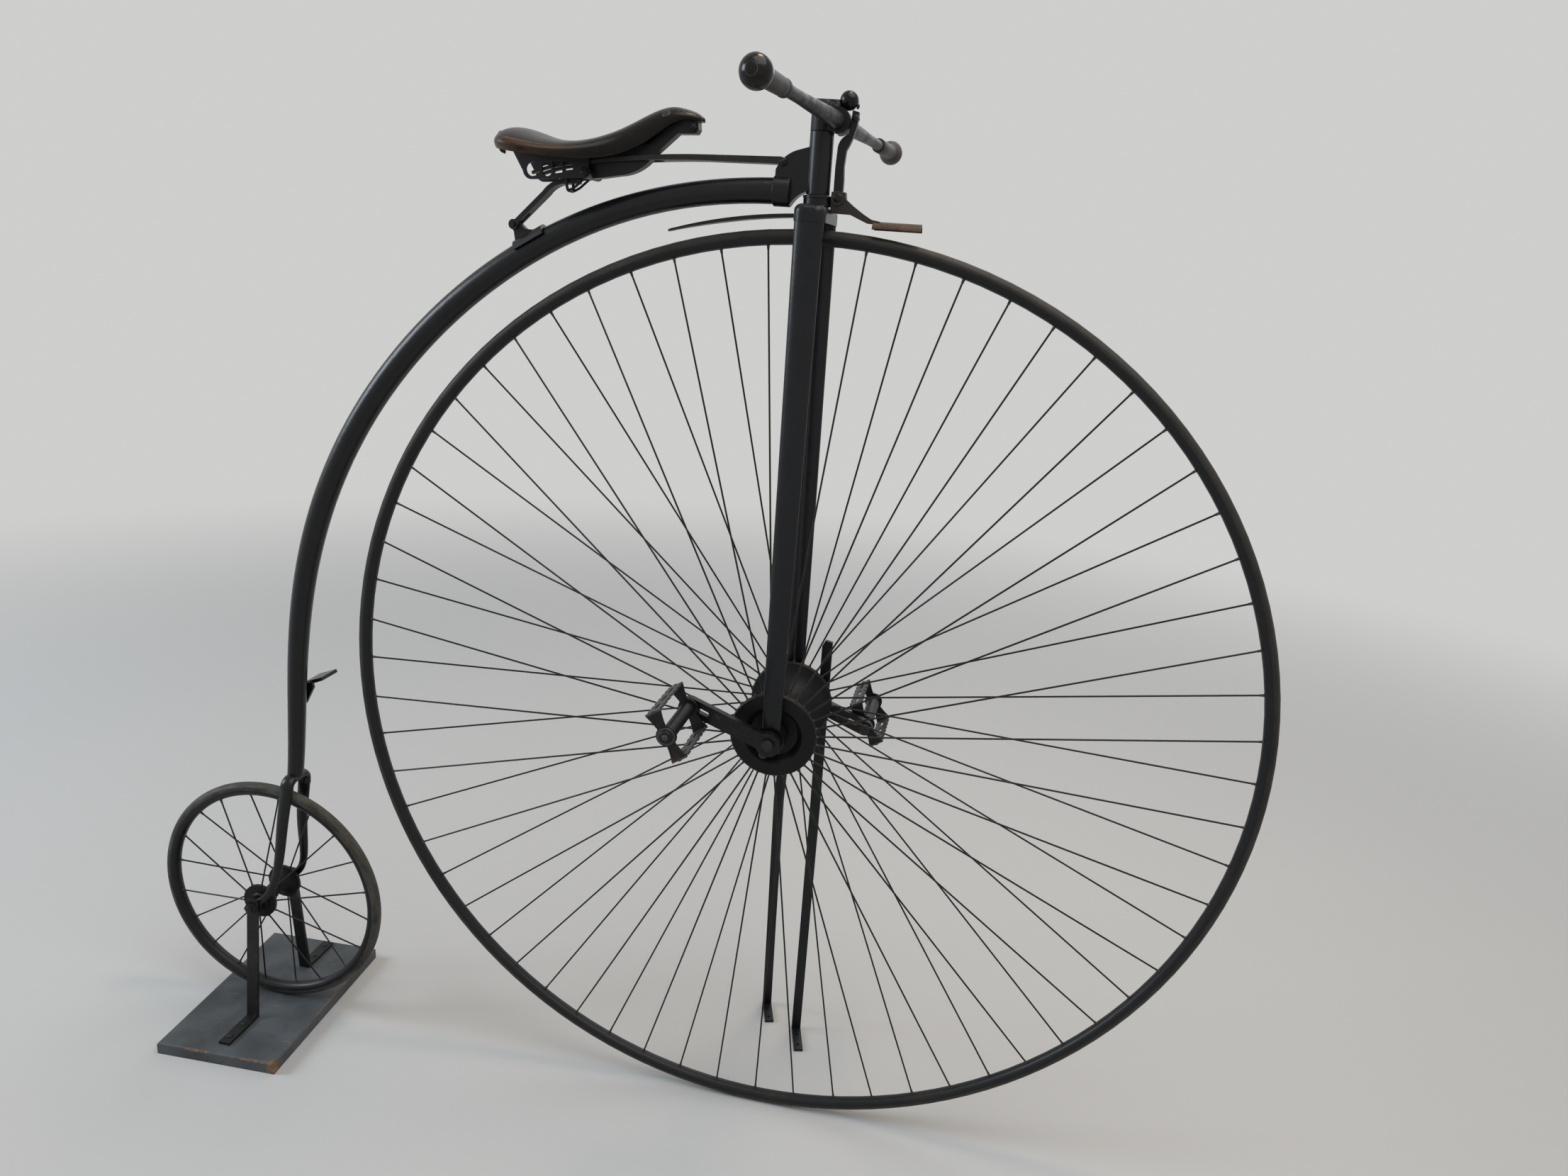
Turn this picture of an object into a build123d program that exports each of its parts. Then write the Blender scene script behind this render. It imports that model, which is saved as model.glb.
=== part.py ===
"""Penny farthing bicycle, parked on its display stand.

Millimetres. X points forward, Y to the rider's left and Z up. The drawing's datum is the floor under the front hub,
and each finished piece is moved so that the origin is the middle of the footprint.
Bodies: the frame with the saddle and the rear plank, the steered fork with the brake and the front legs,
the two wheels, and the two pedals.
"""

import os
from math import acos, atan2, cos, degrees, radians, sin, sqrt

from build123d import *

os.makedirs("parts", exist_ok=True)

# Front wheel, 52 inches over its tyre
wheel_d = 1321.0
tyre_r = 8.8  # of the round rubber section
rim_t = 1.8  # of the crescent rim, at its deepest
spokes_n = 64
spoke_r = 1.25
flange_r = 60.5
flange_y = 70.0
dish_r = 38.0
dish_y = 58.0
axle_r = 9.5

# Rear wheel
rear_d = 394.0
rear_tyre_r = 10.0
rear_spokes_n = 20
rear_phase = 10.0  # angle of the first spoke behind the top
rear_flange_r = 28.5
rear_flange_y = 34.0
rear_axle_r = 6.0

# Fits
run_fit = 0.05  # radial clearance of a turning pin in its bore
seat_fit = 0.05  # between a tyre and its rim
rest_gap = 0.5  # between the hanging rear tyre and the plank

# Cranks and pedals
crank_len = 117.0
crank_angle = 159.5  # of the right crank, from forward, over the top
crank_y = 93.5  # inner face of a crank from the middle plane
crank_t = 9.5
crank_w = 23.0
pin_r = 6.0
pedal_in = 109.0
pedal_out = 208.0
pedal_tilt = -57.3  # of a pedal's long axis, from forward
tread_half = 33.0
tread_w = 22.0

# Steering head
steer_x = -4.5
stem_r = 10.0
head_r = 14.75
head_rise = 39.5  # height of the collar's seat above the front tyre
head_len = 72.0

# Handlebar, set a few degrees askew in its clamp
bar_turn = 5.2
bar_x = 15.0
bar_rise = 87.0  # above the collar's seat
bar_r = 6.8
bar_neck_r = 10.5
ferrule = 235.0  # where a handle begins, from the middle
grip_r = 9.6  # of a handle next to its ring
grip_end_r = 10.6  # where it meets the ball
knob_at = 325.0
knob_r = 17.0

# Backbone and rear fork
tube_r = 16.0
rear_trail = 57.0  # rear axle behind the backbone's end
tail_r = 12.2  # of the backbone at its end
crown_gap = 27.5  # from the rear tyre to the backbone's end

# Display stand
board_t = 19.0
board_len = 311.0
board_w = 202.0
leg_w = 15.0
leg_t = 6.0
leg_y = 77.0
foot_t = 4.0
bracket_w = 19.0
bracket_t = 4.5

hub_z = wheel_d / 2
head_z = wheel_d + head_rise
rear_z = board_t + rest_gap + rear_d / 2


def side_plane(y, x=0.0, z=0.0):
    """Upright plane seen from the right-hand side, with local x forward and local y up."""
    return Plane(origin=(x, y, z), x_dir=(1, 0, 0), z_dir=(0, -1, 0))


def wheel_plane(x, z):
    """Plane holding a wheel's axis, with local x across the wheel and local y up its radius."""
    return Plane(origin=(x, 0, z), x_dir=(0, 1, 0), z_dir=(1, 0, 0))


def cross_axis(x, z):
    """Axis across the bicycle through a point of the side view."""
    return Axis((x, 0, z), (0, 1, 0))


# Centre line of the backbone: two arcs round the front wheel, then a nearly straight drop to the rear crown
neck_x = -58.0
neck_angle = 1.57  # of the tube's start below the horizontal, towards the rear
drop_r = 4032.0


def arc_after(point, angle, radius, turn):
    """End, middle and end angle of an arc that leaves point rearward at angle degrees and bends down by turn."""
    centre = point + Vector(sin(radians(angle)), 0, -cos(radians(angle))) * radius
    found = []
    for share in (0.5, 1.0):
        at = radians(angle + turn * share)
        found.append(centre - Vector(sin(at), 0, -cos(at)) * radius)
    return found[1], found[0], angle + turn


neck = Vector(neck_x, 0, head_z + 3.3)
shoulder, neck_mid, shoulder_angle = arc_after(neck, neck_angle, hub_z + 35.9, 41.46)
waist, shoulder_mid, waist_angle = arc_after(shoulder, shoulder_angle, hub_z + 135.6, 39.72)
drop_centre_z = waist.Z - cos(radians(waist_angle)) * drop_r
crown_z = rear_z + rear_d / 2 + crown_gap
drop_turn = degrees(acos((crown_z - drop_centre_z) / drop_r)) - waist_angle
tail, waist_mid, tail_angle = arc_after(waist, waist_angle, drop_r, drop_turn)

with BuildLine() as spine:
    ThreePointArc(neck, neck_mid, shoulder)
    ThreePointArc(shoulder, shoulder_mid, waist)
    ThreePointArc(waist, waist_mid, tail)
spine_wire = spine.wires()[0]

rear_x = round(tail.X - rear_trail, 1)

# The footprint's middle, from the rear tyre's back to the front tyre's nose
middle_x = (hub_z + rear_x - rear_d / 2) / 2


def save(part, name):
    """Moves a finished piece to the footprint's middle, labels it and writes its file."""
    placed = part.moved(Location((-middle_x, 0, 0)))
    placed.label = name
    export_step(placed, f"parts/{name}.step")


# Tyres and crescent rims
def tyre(x, z, radius, section_r):
    """Solid round tyre."""
    with BuildPart() as ring:
        with BuildSketch(wheel_plane(x, z)):
            with Locations((0, radius - section_r)):
                Circle(section_r)
        revolve(axis=cross_axis(x, z))
    return ring.part


def rim(x, z, radius, section_r):
    """Crescent rim that hugs the inner side of a round tyre and thins out to a lip on each side."""
    centre = radius - section_r
    seat = section_r + seat_fit
    lip = 1.5  # of the rim's edges below the tyre's widest line
    reach = sqrt(seat**2 - lip**2)
    with BuildPart() as ring:
        with BuildSketch(wheel_plane(x, z)):
            with BuildLine():
                ThreePointArc((-reach, centre - lip), (0, centre - seat), (reach, centre - lip))
                Line((reach, centre - lip), (reach + 0.8, centre - lip))
                Line((-reach, centre - lip), (-reach - 0.8, centre - lip))
                ThreePointArc((-reach - 0.8, centre - lip), (0, centre - seat - rim_t), (reach + 0.8, centre - lip))
            make_face()
        revolve(axis=cross_axis(x, z))
    return ring.part


save(tyre(0, hub_z, wheel_d / 2, tyre_r), "front_tyre")
save(rim(0, hub_z, wheel_d / 2, tyre_r), "front_rim")
save(tyre(rear_x, rear_z, rear_d / 2, rear_tyre_r), "rear_tyre")
save(rim(rear_x, rear_z, rear_d / 2, rear_tyre_r), "rear_rim")


def spokes(x, z, count, phase, start, end):
    """Straight radial spokes from alternate flanges; start and end are (radius, distance from the middle plane)."""
    rods = []
    for k in range(count):
        side = -1 if k % 2 else 1
        turn = radians(phase + 360.0 / count * k)
        outward = Vector(-sin(turn), 0, cos(turn))
        low = Vector(x, side * start[1], z) + outward * start[0]
        high = Vector(x, side * end[1], z) + outward * end[0]
        span = high - low
        rod = Cylinder(spoke_r, span.length, align=(Align.CENTER, Align.CENTER, Align.MIN))
        rods.append(Plane(origin=low, z_dir=span) * rod)
    return rods


# Front hub: a dished flange each side carries the spokes
front_inner = hub_z - 2 * tyre_r - seat_fit - rim_t
front_rods = spokes(0, hub_z, spokes_n, 0.0, (flange_r - 2, flange_y - 4), (front_inner - 0.1, 2.2))
with BuildPart() as front_hub:
    with BuildSketch(wheel_plane(0, hub_z)):
        with BuildLine():
            Polyline((0, axle_r), (dish_y, axle_r), (dish_y, dish_r - 5), (flange_y - 3, dish_r))
            Polyline((flange_y - 3, dish_r), (flange_y, dish_r + 3), (flange_y, flange_r - 2))
            RadiusArc((flange_y, flange_r - 2), (flange_y - 8, flange_r - 2), -5)
            ThreePointArc((flange_y - 8, flange_r - 2), (48, 32), (0, 23))
            Line((0, 23), (0, axle_r))
        make_face()
    revolve(axis=cross_axis(0, hub_z))
    mirror(about=Plane.XZ)
    add(front_rods)
save(front_hub.part, "front_hub")

# Rear hub: a small spool with a flange each side
rear_inner = rear_d / 2 - 2 * rear_tyre_r - seat_fit - rim_t
rear_rods = spokes(
    rear_x, rear_z, rear_spokes_n, rear_phase, (rear_flange_r - 2, rear_flange_y - 3), (rear_inner - 0.1, 2.4)
)
with BuildPart() as rear_hub:
    bore = rear_axle_r + run_fit
    with BuildSketch(wheel_plane(rear_x, rear_z)):
        with BuildLine():
            Polyline((0, bore), (rear_flange_y + 3, bore), (rear_flange_y + 3, 13), (rear_flange_y, 15))
            Polyline((rear_flange_y, 15), (rear_flange_y, rear_flange_r), (rear_flange_y - 5, rear_flange_r))
            ThreePointArc((rear_flange_y - 5, rear_flange_r), (rear_flange_y - 12, 15), (0, 12))
            Line((0, 12), (0, bore))
        make_face()
    revolve(axis=cross_axis(rear_x, rear_z))
    mirror(about=Plane.XZ)
    add(rear_rods)
save(rear_hub.part, "rear_hub")

# The front axle, cranks and pedal pins turn with the front wheel
with BuildPart() as front_axle:
    with BuildSketch(side_plane(0, z=hub_z)):
        Circle(axle_r)
    extrude(amount=crank_y + crank_t + 3, both=True)
save(front_axle.part, "front_axle")


def crank_dir(side):
    """Direction from the hub to a pedal pin in the side view; side is -1 for the right, 1 for the left."""
    turn = radians(crank_angle if side < 0 else crank_angle + 180)
    return Vector(cos(turn), 0, sin(turn))


def crank(side):
    """Round boss, flat arm and a long hole behind the pedal pin, by which the throw is set."""
    inner = -crank_y if side < 0 else crank_y + crank_t
    plane = Plane(origin=(0, inner, hub_z), x_dir=crank_dir(side), z_dir=(0, -1, 0))
    with BuildPart() as arm:
        with BuildSketch(plane):
            Circle(17)
            with Locations((crank_len / 2, 0)):
                SlotCenterToCenter(crank_len, crank_w)
            Circle(axle_r, mode=Mode.SUBTRACT)
            with Locations((crank_len, 0)):
                Circle(pin_r, mode=Mode.SUBTRACT)
            with Locations((crank_len - 21, 0)):
                SlotOverall(16, 7, mode=Mode.SUBTRACT)
        extrude(amount=crank_t)
    return arm.part


with BuildPart() as cranks:
    add(crank(-1))
    add(crank(1))
save(cranks.part, "cranks")

with BuildPart() as pedal_pins:
    for side in (-1, 1):
        px, _, pz = Vector(0, 0, hub_z) + crank_dir(side) * crank_len
        # Radius, start and end of each step of the pin
        for radius, start, end in ((pin_r, crank_y, pedal_out - 4), (pin_r + 4, crank_y + crank_t, pedal_in - 1.5)):
            with BuildSketch(side_plane(side * start, px, pz)):
                Circle(radius)
            extrude(amount=-side * (end - start))
save(pedal_pins.part, "pedal_pins")


def pedal_plane(side, y):
    """Plane square to a pedal pin, with local x along the pedal."""
    tilt = radians(pedal_tilt)
    place = Vector(0, side * y, hub_z) + crank_dir(side) * crank_len
    return Plane(origin=place, x_dir=(cos(tilt), 0, sin(tilt)), z_dir=(0, side, 0))


def pedal(side):
    """Bow-tie end plates on the barrel that turns on the pin, and a domed cap."""
    half = tread_w / 2
    with BuildPart() as body:
        with BuildSketch(pedal_plane(side, pedal_in)):
            Circle(9.5)
            Circle(pin_r + run_fit, mode=Mode.SUBTRACT)
        extrude(amount=pedal_out - pedal_in)
        for start in (pedal_in, pedal_out - 3):
            with BuildSketch(pedal_plane(side, start)):
                with BuildLine():
                    for end in (-1, 1):
                        Line((end * tread_half, -half), (end * tread_half, half))
                        ThreePointArc((-tread_half, end * half), (0, end * 5), (tread_half, end * half))
                make_face()
                Circle(13.5)
                Circle(pin_r + run_fit, mode=Mode.SUBTRACT)
            extrude(amount=3)
        with BuildSketch(pedal_plane(side, pedal_out)):
            Circle(9)
        extrude(amount=5)
        fillet(body.faces().sort_by(Axis.Y)[-1 if side > 0 else 0].edges(), 3)
    return body.part


def treads(side):
    """The two toothed plates that the boot stands on."""
    length = pedal_out - pedal_in
    teeth = 7
    pitch = length / teeth
    tilt = radians(pedal_tilt)
    along = Vector(cos(tilt), 0, sin(tilt))
    place = Vector(0, side * pedal_in, hub_z) + crank_dir(side) * crank_len
    with BuildPart() as plates:
        for end in (-1, 1):
            face = Plane(origin=place + along * (end * tread_half), x_dir=(0, side, 0), z_dir=along * end)
            with BuildSketch(face):
                with Locations((length / 2, 0)):
                    Rectangle(length, tread_w)
                    with GridLocations(pitch, tread_w, teeth, 2):
                        Circle(3.2, mode=Mode.SUBTRACT)
                    with GridLocations(pitch * 2, 1, 3, 1):
                        SlotOverall(pitch * 1.3, 5, mode=Mode.SUBTRACT)
            extrude(amount=2.5)
    return plates.part


for side, name in ((-1, "right"), (1, "left")):
    save(pedal(side), f"pedal_frame_{name}")
    save(treads(side), f"pedal_treads_{name}")

# Fork: shouldered crown, two tapered oval blades and a bearing housing at each end of the axle
blade_y = 47.0  # of the blades' tops from the middle plane
crown_x = steer_x
shoulder_w = 114.0

with BuildPart() as front_fork:
    for side in (-1, 1):
        with BuildSketch(Plane.XY.offset(head_z - 24)):
            with Locations((crown_x, side * blade_y)):
                Ellipse(18.5, 9)
        with BuildSketch(Plane.XY.offset(hub_z + 10)):
            with Locations((0, side * 83)):
                Ellipse(13, 5)
        loft()
    with BuildPart(mode=Mode.PRIVATE) as crown:
        with BuildSketch(Plane.XY.offset(head_z - 32.5)):
            with Locations((crown_x, 0)):
                Rectangle(40, shoulder_w)
        extrude(amount=20.5)
        fillet(crown.edges().filter_by(Axis.Z), 14)
        fillet(crown.faces().sort_by(Axis.Z)[-1].edges(), 9)
    add(crown.part)
    for side in (-1, 1):
        with BuildSketch(side_plane(side * 63, z=hub_z)):
            Circle(20)
        extrude(amount=-side * 25)
    with BuildSketch(side_plane(0, z=hub_z)):
        Circle(axle_r + run_fit)
    extrude(amount=100, both=True, mode=Mode.SUBTRACT)
save(front_fork.part, "front_fork")

stem_top = head_len + 2.5

with BuildPart() as steering_stem:
    with BuildSketch(side_plane(0, steer_x, head_z)):
        with BuildLine():
            Polyline((0, -12), (17.5, -12), (17.5, -2), (16, 0.5), (stem_r, 0.5), (stem_r, stem_top))
            Polyline((stem_r, stem_top), (0, stem_top), (0, -12))
        make_face()
    revolve(axis=Axis((steer_x, 0, 0), (0, 0, 1)))
save(steering_stem.part, "steering_stem")

# Handlebar and ball handles
bar_z = head_z + bar_rise
bar_dir = Vector(sin(radians(bar_turn)), cos(radians(bar_turn)), 0)
bar_axis = Axis((bar_x, 0, bar_z), bar_dir)


def bar_plane(side):
    """Plane holding half of the bar's axis, with local x out along the bar."""
    return Plane(origin=(bar_x, 0, bar_z), x_dir=bar_dir * side, z_dir=bar_dir.cross(Vector(0, 0, side)))


with BuildPart() as handlebar:
    for side in (-1, 1):
        with BuildSketch(bar_plane(side)):
            with BuildLine():
                Polyline((0, 0), (0, bar_neck_r), (20, bar_neck_r), (180, bar_r), (ferrule, bar_r))
                Polyline((ferrule, bar_r), (ferrule, bar_r - 1), (ferrule + 16, bar_r - 1), (ferrule + 16, 0), (0, 0))
            make_face()
        revolve(axis=bar_axis)
save(handlebar.part, "handlebar")

with BuildPart() as handles:
    neck_end = knob_at - sqrt(knob_r**2 - grip_end_r**2)
    inner = bar_r - 1 + seat_fit
    for side in (-1, 1):
        with BuildSketch(bar_plane(side)):
            with BuildLine():
                Polyline((ferrule, inner), (ferrule, grip_r - 0.8), (ferrule + 1.5, grip_r), (ferrule + 5.5, grip_r))
                Polyline((ferrule + 5.5, grip_r), (ferrule + 6.5, grip_r - 1), (ferrule + 8.5, grip_r - 1))
                Polyline((ferrule + 8.5, grip_r - 1), (ferrule + 9.5, grip_r), (neck_end, grip_end_r))
                ThreePointArc((neck_end, grip_end_r), (knob_at, knob_r), (knob_at + knob_r, 0))
                Polyline((knob_at + knob_r, 0), (ferrule + 16, 0), (ferrule + 16, inner), (ferrule, inner))
            make_face()
        revolve(axis=bar_axis)
save(handles.part, "handles")

# Clamp that holds the bar to the steering stem, with its cap strap and ball finial
clamp_low = stem_top
clamp_top = bar_rise + 15.5

with BuildPart() as bar_clamp:
    with BuildSketch(side_plane(0, 0, head_z)):
        with BuildLine():
            Polyline((-19, clamp_low), (-19, clamp_top), (bar_x, clamp_top))
            ThreePointArc((bar_x, clamp_top), (bar_x + 15.5, bar_rise), (bar_x, bar_rise - 15.5))
            Polyline((bar_x, bar_rise - 15.5), (bar_x - 3, clamp_low), (-19, clamp_low))
        make_face()
    extrude(amount=14.5, both=True)
    with BuildSketch(Plane.XY.offset(head_z)):
        with Locations((steer_x, 0)):
            Circle(head_r)
        with Locations((steer_x + 20, 0)):
            Rectangle(40, 26)
    extrude(amount=clamp_top, mode=Mode.INTERSECT)
    with BuildSketch(Plane.XY.offset(head_z + clamp_top)):
        SlotOverall(40, 19)
    extrude(amount=8)
    with Locations((26, 0, head_z + clamp_top + 8.5)):
        Sphere(11.5)
    with BuildSketch(Plane(origin=(bar_x, 0, bar_z), x_dir=(0, 0, 1), z_dir=bar_dir)):
        Circle(bar_neck_r)
    extrude(amount=60, both=True, mode=Mode.SUBTRACT)
save(bar_clamp.part, "bar_clamp")

# Brake: a spoon over the tyre on its pivot boss, and a lever down the front of the head
with BuildPart() as brake_spoon:
    with BuildSketch(side_plane(0, z=head_z)):
        with BuildLine():
            Polyline((13.5, 3), (13.5, -19), (38, -19.5), (50, -24.5), (60, -28.5), (70, -29), (76, -25.5))
            Polyline((76, -25.5), (66, -24), (55, -18), (42, -9.5), (32, -2), (31, 6), (13.5, 6), (13.5, 3))
        make_face()
    extrude(amount=6, both=True)
    with BuildSketch(side_plane(0, 22, head_z - 1)):
        Circle(8.5)
    extrude(amount=9, both=True)
    with BuildSketch(Plane(origin=(68, 0, head_z), x_dir=(0, 1, 0), z_dir=(1, 0, 0))):
        with BuildLine():
            ThreePointArc((-14, -34.5), (0, -25.5), (14, -34.5))
            Line((14, -34.5), (11.5, -35.5))
            ThreePointArc((11.5, -35.5), (0, -28.5), (-11.5, -35.5))
            Line((-11.5, -35.5), (-14, -34.5))
        make_face()
    extrude(amount=60)
    add(front_fork.part, mode=Mode.SUBTRACT)
save(brake_spoon.part, "brake_spoon")

with BuildPart() as brake_lever:
    with BuildSketch(side_plane(0, z=head_z)):
        with BuildLine():
            Polyline((31.5, 100), (31, 90), (29, 73))
            ThreePointArc((29, 73), (20, 66), (16.5, 54))
            Polyline((16.5, 54), (15.5, 35), (15.5, 6), (27, 6), (27, 20), (26, 36), (27.5, 54))
            ThreePointArc((27.5, 54), (34, 68), (38.5, 84))
            Polyline((38.5, 84), (39.5, 98), (31.5, 100))
        make_face()
    extrude(amount=4.5, both=True)
    add(brake_spoon.part, mode=Mode.SUBTRACT)
save(brake_lever.part, "brake_lever")

# Long tapered tongue behind the crown, over the tyre
with BuildPart() as rear_tongue:
    with BuildSketch(side_plane(0, z=head_z)):
        with BuildLine():
            ThreePointArc((steer_x - 20, -22), (-112, -31.5), (-198, -51.5))
            Line((-198, -51.5), (-198, -54))
            ThreePointArc((-198, -54), (-112, -36), (steer_x - 20, -26.5))
            Line((steer_x - 20, -26.5), (steer_x - 20, -22))
        make_face()
    extrude(amount=11, both=True)
    with BuildSketch(Plane.XY.offset(head_z - 100)):
        with BuildLine():
            ThreePointArc((-24, 8), (-110, 11), (-187, 5))
            ThreePointArc((-187, 5), (-196, 0), (-187, -5))
            ThreePointArc((-187, -5), (-110, -11), (-24, -8))
            Line((-24, -8), (-24, 8))
        make_face()
    extrude(amount=100, mode=Mode.INTERSECT)
save(rear_tongue.part, "rear_tongue")

# Front legs of the display stand, hung on a yoke round the left bearing housing
leg_bend = hub_z - 172
arm_x = 47.0  # of the front leg's upper part
hang_x = -10.0  # of the rear leg's top

with BuildPart() as stand_yoke:
    with BuildSketch(side_plane(leg_y, z=hub_z)):
        Circle(30)
        with Locations((-8, 18)):
            Rectangle(46, 32, mode=Mode.SUBTRACT)
        with BuildLine():
            Polyline((16, 12), (arm_x, 12), (arm_x, -12), (16, -12), close=True)
        make_face()
        with BuildLine():
            Polyline((37.5, 86), (42, 95), (52.5, 93), (54.5, -172), (39.5, -172), close=True)
        make_face()
        with BuildLine():
            Polyline((-11, -20), (4, -20), (hang_x + 7.5, -172), (hang_x - 7.5, -172), close=True)
        make_face()
        Circle(20, mode=Mode.SUBTRACT)
    extrude(amount=-leg_t)
save(stand_yoke.part, "stand_yoke")


def stand_leg(top_x, heel, toe):
    """Sloping lower part of a leg, with its foot turned in along the floor; heel and toe are (x, y)."""
    run = Vector(toe[0] - heel[0], toe[1] - heel[1], 0)
    across = degrees(atan2(run.X, -run.Y))
    with BuildPart() as leg:
        with BuildSketch(Plane.XY.offset(leg_bend)):
            with Locations((top_x, leg_y + leg_t / 2)):
                Rectangle(leg_w, leg_t)
        with BuildSketch(Plane.XY.offset(foot_t)):
            with Locations((heel[0], heel[1])):
                Rectangle(leg_w, leg_t, rotation=across)
        loft()
        with BuildSketch(Plane(origin=(heel[0], heel[1], 0), x_dir=run, z_dir=(0, 0, 1))):
            with Locations((run.length / 2 - leg_t / 4, 0)):
                Rectangle(run.length + leg_t / 2, leg_w)
            for reach in (0.35, 0.8):
                with Locations((run.length * reach, 0)):
                    Circle(2.2, mode=Mode.SUBTRACT)
        extrude(amount=foot_t)
    return leg.part


save(stand_leg(arm_x, (33, 182), (48, 126)), "stand_leg_front")
save(stand_leg(hang_x, (-30, 232), (-15, 184)), "stand_leg_rear")

# Backbone: a tapered tube along its centre line
with BuildPart() as backbone:
    # Share of the length from the neck, and radius
    for share, radius in ((0, tube_r), (0.25, tube_r + 0.4), (0.5, tube_r + 1), (0.75, tube_r), (0.88, 14.2), (1, tail_r)):
        with BuildSketch(Plane(origin=spine_wire @ share, z_dir=spine_wire % share)):
            Circle(radius)
    loft()
save(backbone.part, "backbone")

# Head tube with its neck: a web down to a socket round the backbone
with BuildPart() as head_lug:
    with BuildSketch(side_plane(0, z=head_z)):
        with BuildLine():
            Polyline((-12, 57), (-20, 55), (-30, 52))
            ThreePointArc((-30, 52), (-47, 43), (-58, 28))
            Polyline((-58, 28), (-59, -12.5), (-38, -12.5))
            ThreePointArc((-38, -12.5), (-29, -2), (-12, 6))
            Line((-12, 6), (-12, 57))
        make_face()
    extrude(amount=9, both=True)
    with BuildSketch(Plane(origin=neck + Vector(-2, 0, 0), z_dir=(1, 0, 0))):
        Circle(tube_r + 2.5)
    extrude(amount=22)
    fillet(head_lug.edges().filter_by(GeomType.CIRCLE).filter_by(lambda e: abs(e.radius - tube_r - 2.5) < 0.1), 1.5)
    with BuildSketch(Plane.XY.offset(head_z + 1.5)):
        with Locations((steer_x, 0)):
            Circle(head_r)
    extrude(amount=head_len)
    with BuildSketch(Plane.XY.offset(head_z)):
        with Locations((steer_x, 0)):
            Circle(stem_r + run_fit)
    extrude(amount=head_len + 10, mode=Mode.SUBTRACT)
    add(backbone.part, mode=Mode.SUBTRACT)
save(head_lug.part, "head_lug")

# Rear fork: an arch over the tyre, two blades that curve back to the axle, and an eye on each
fork_drop = crown_z - rear_z
tail_down = spine_wire % 1
# Share of the drop, forward of the axle, out from the middle, half widths along and across, and backward lean
rear_blade_rows = (
    (0.085, 55.6, 22.6, 10.4, 6.5, 5),
    (0.36, 46.0, 26, 9.5, 6, 7),
    (0.69, 38.5, 34, 7.5, 5, 12),
    (0.91, 22.0, 43, 6.2, 4, 40),
    (0.98, 4.0, 45.5, 6, 4, 55),
)
with BuildPart() as rear_fork:
    for side in (-1, 1):
        for share, ahead, out, half_x, half_y, lean in rear_blade_rows:
            down = Vector(-sin(radians(lean)), 0, -cos(radians(lean)))
            place = Vector(rear_x + ahead, side * out, crown_z - share * fork_drop)
            with BuildSketch(Plane(origin=place, x_dir=(-down.Z, 0, down.X), z_dir=down)):
                Ellipse(half_x, half_y)
        loft()
        with BuildSketch(side_plane(side * 41.5, rear_x, rear_z)):
            Circle(13)
        extrude(amount=-side * 8)
    with BuildLine(Plane(origin=tail, x_dir=(0, 1, 0), z_dir=tail_down.cross(Vector(0, 1, 0)))) as arch:
        FilletPolyline((-22.6, -25), (-22.6, -4), (22.6, -4), (22.6, -25), radius=12)
    with BuildSketch(Plane(origin=arch.line @ 0, x_dir=(0, 1, 0), z_dir=arch.line % 0)):
        Ellipse(6.9, 11)
    sweep(path=arch.line)
    with BuildSketch(Plane(origin=tail, z_dir=tail_down)):
        Circle(tail_r)
    with BuildSketch(Plane(origin=tail + tail_down * 7, z_dir=tail_down)):
        Circle(tail_r - 3)
    loft()
    add(backbone.part, mode=Mode.SUBTRACT)
    with BuildSketch(side_plane(0, rear_x, rear_z)):
        Circle(rear_axle_r)
    extrude(amount=80, both=True, mode=Mode.SUBTRACT)
save(rear_fork.part, "rear_fork")

with BuildPart() as rear_axle:
    with BuildSketch(side_plane(0, rear_x, rear_z)):
        Circle(rear_axle_r)
    extrude(amount=61, both=True)
save(rear_axle.part, "rear_axle")

with BuildPart() as axle_nuts:
    for side in (-1, 1):
        with BuildSketch(side_plane(side * 54, rear_x, rear_z)):
            RegularPolygon(10, 6)
            Circle(rear_axle_r, mode=Mode.SUBTRACT)
        extrude(amount=-side * 5.5)
save(axle_nuts.part, "axle_nuts")

# Rear plank, set slightly askew, and the bent bar from each end of the axle down to it
with BuildPart() as stand_board:
    skew = radians(2.3)
    place = Plane(origin=(rear_x - 7, -7, 0), x_dir=(cos(skew), sin(skew), 0), z_dir=(0, 0, 1))
    with BuildSketch(place):
        Rectangle(board_w, board_len)
    extrude(amount=board_t)
    fillet(stand_board.faces().sort_by(Axis.Z)[-1].edges(), 3)
save(stand_board.part, "stand_board")

with BuildPart() as rear_brackets:
    for side in (-1, 1):
        inner = 49.5
        with BuildSketch(Plane(origin=(rear_x, 0, 0), x_dir=(0, side, 0), z_dir=(side, 0, 0))):
            with BuildLine():
                Polyline(
                    (inner, rear_z + 13), (inner + bracket_t, rear_z + 13), (inner + bracket_t, rear_z - 14),
                    (73, board_t + bracket_t), (141, board_t + bracket_t), (141, board_t), (68, board_t),
                    (inner, rear_z - 14), close=True,
                )
            make_face()
        extrude(amount=bracket_w / 2, both=True)
    with BuildSketch(side_plane(0, rear_x, rear_z)):
        Circle(rear_axle_r)
    extrude(amount=80, both=True, mode=Mode.SUBTRACT)
save(rear_brackets.part, "rear_brackets")

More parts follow.
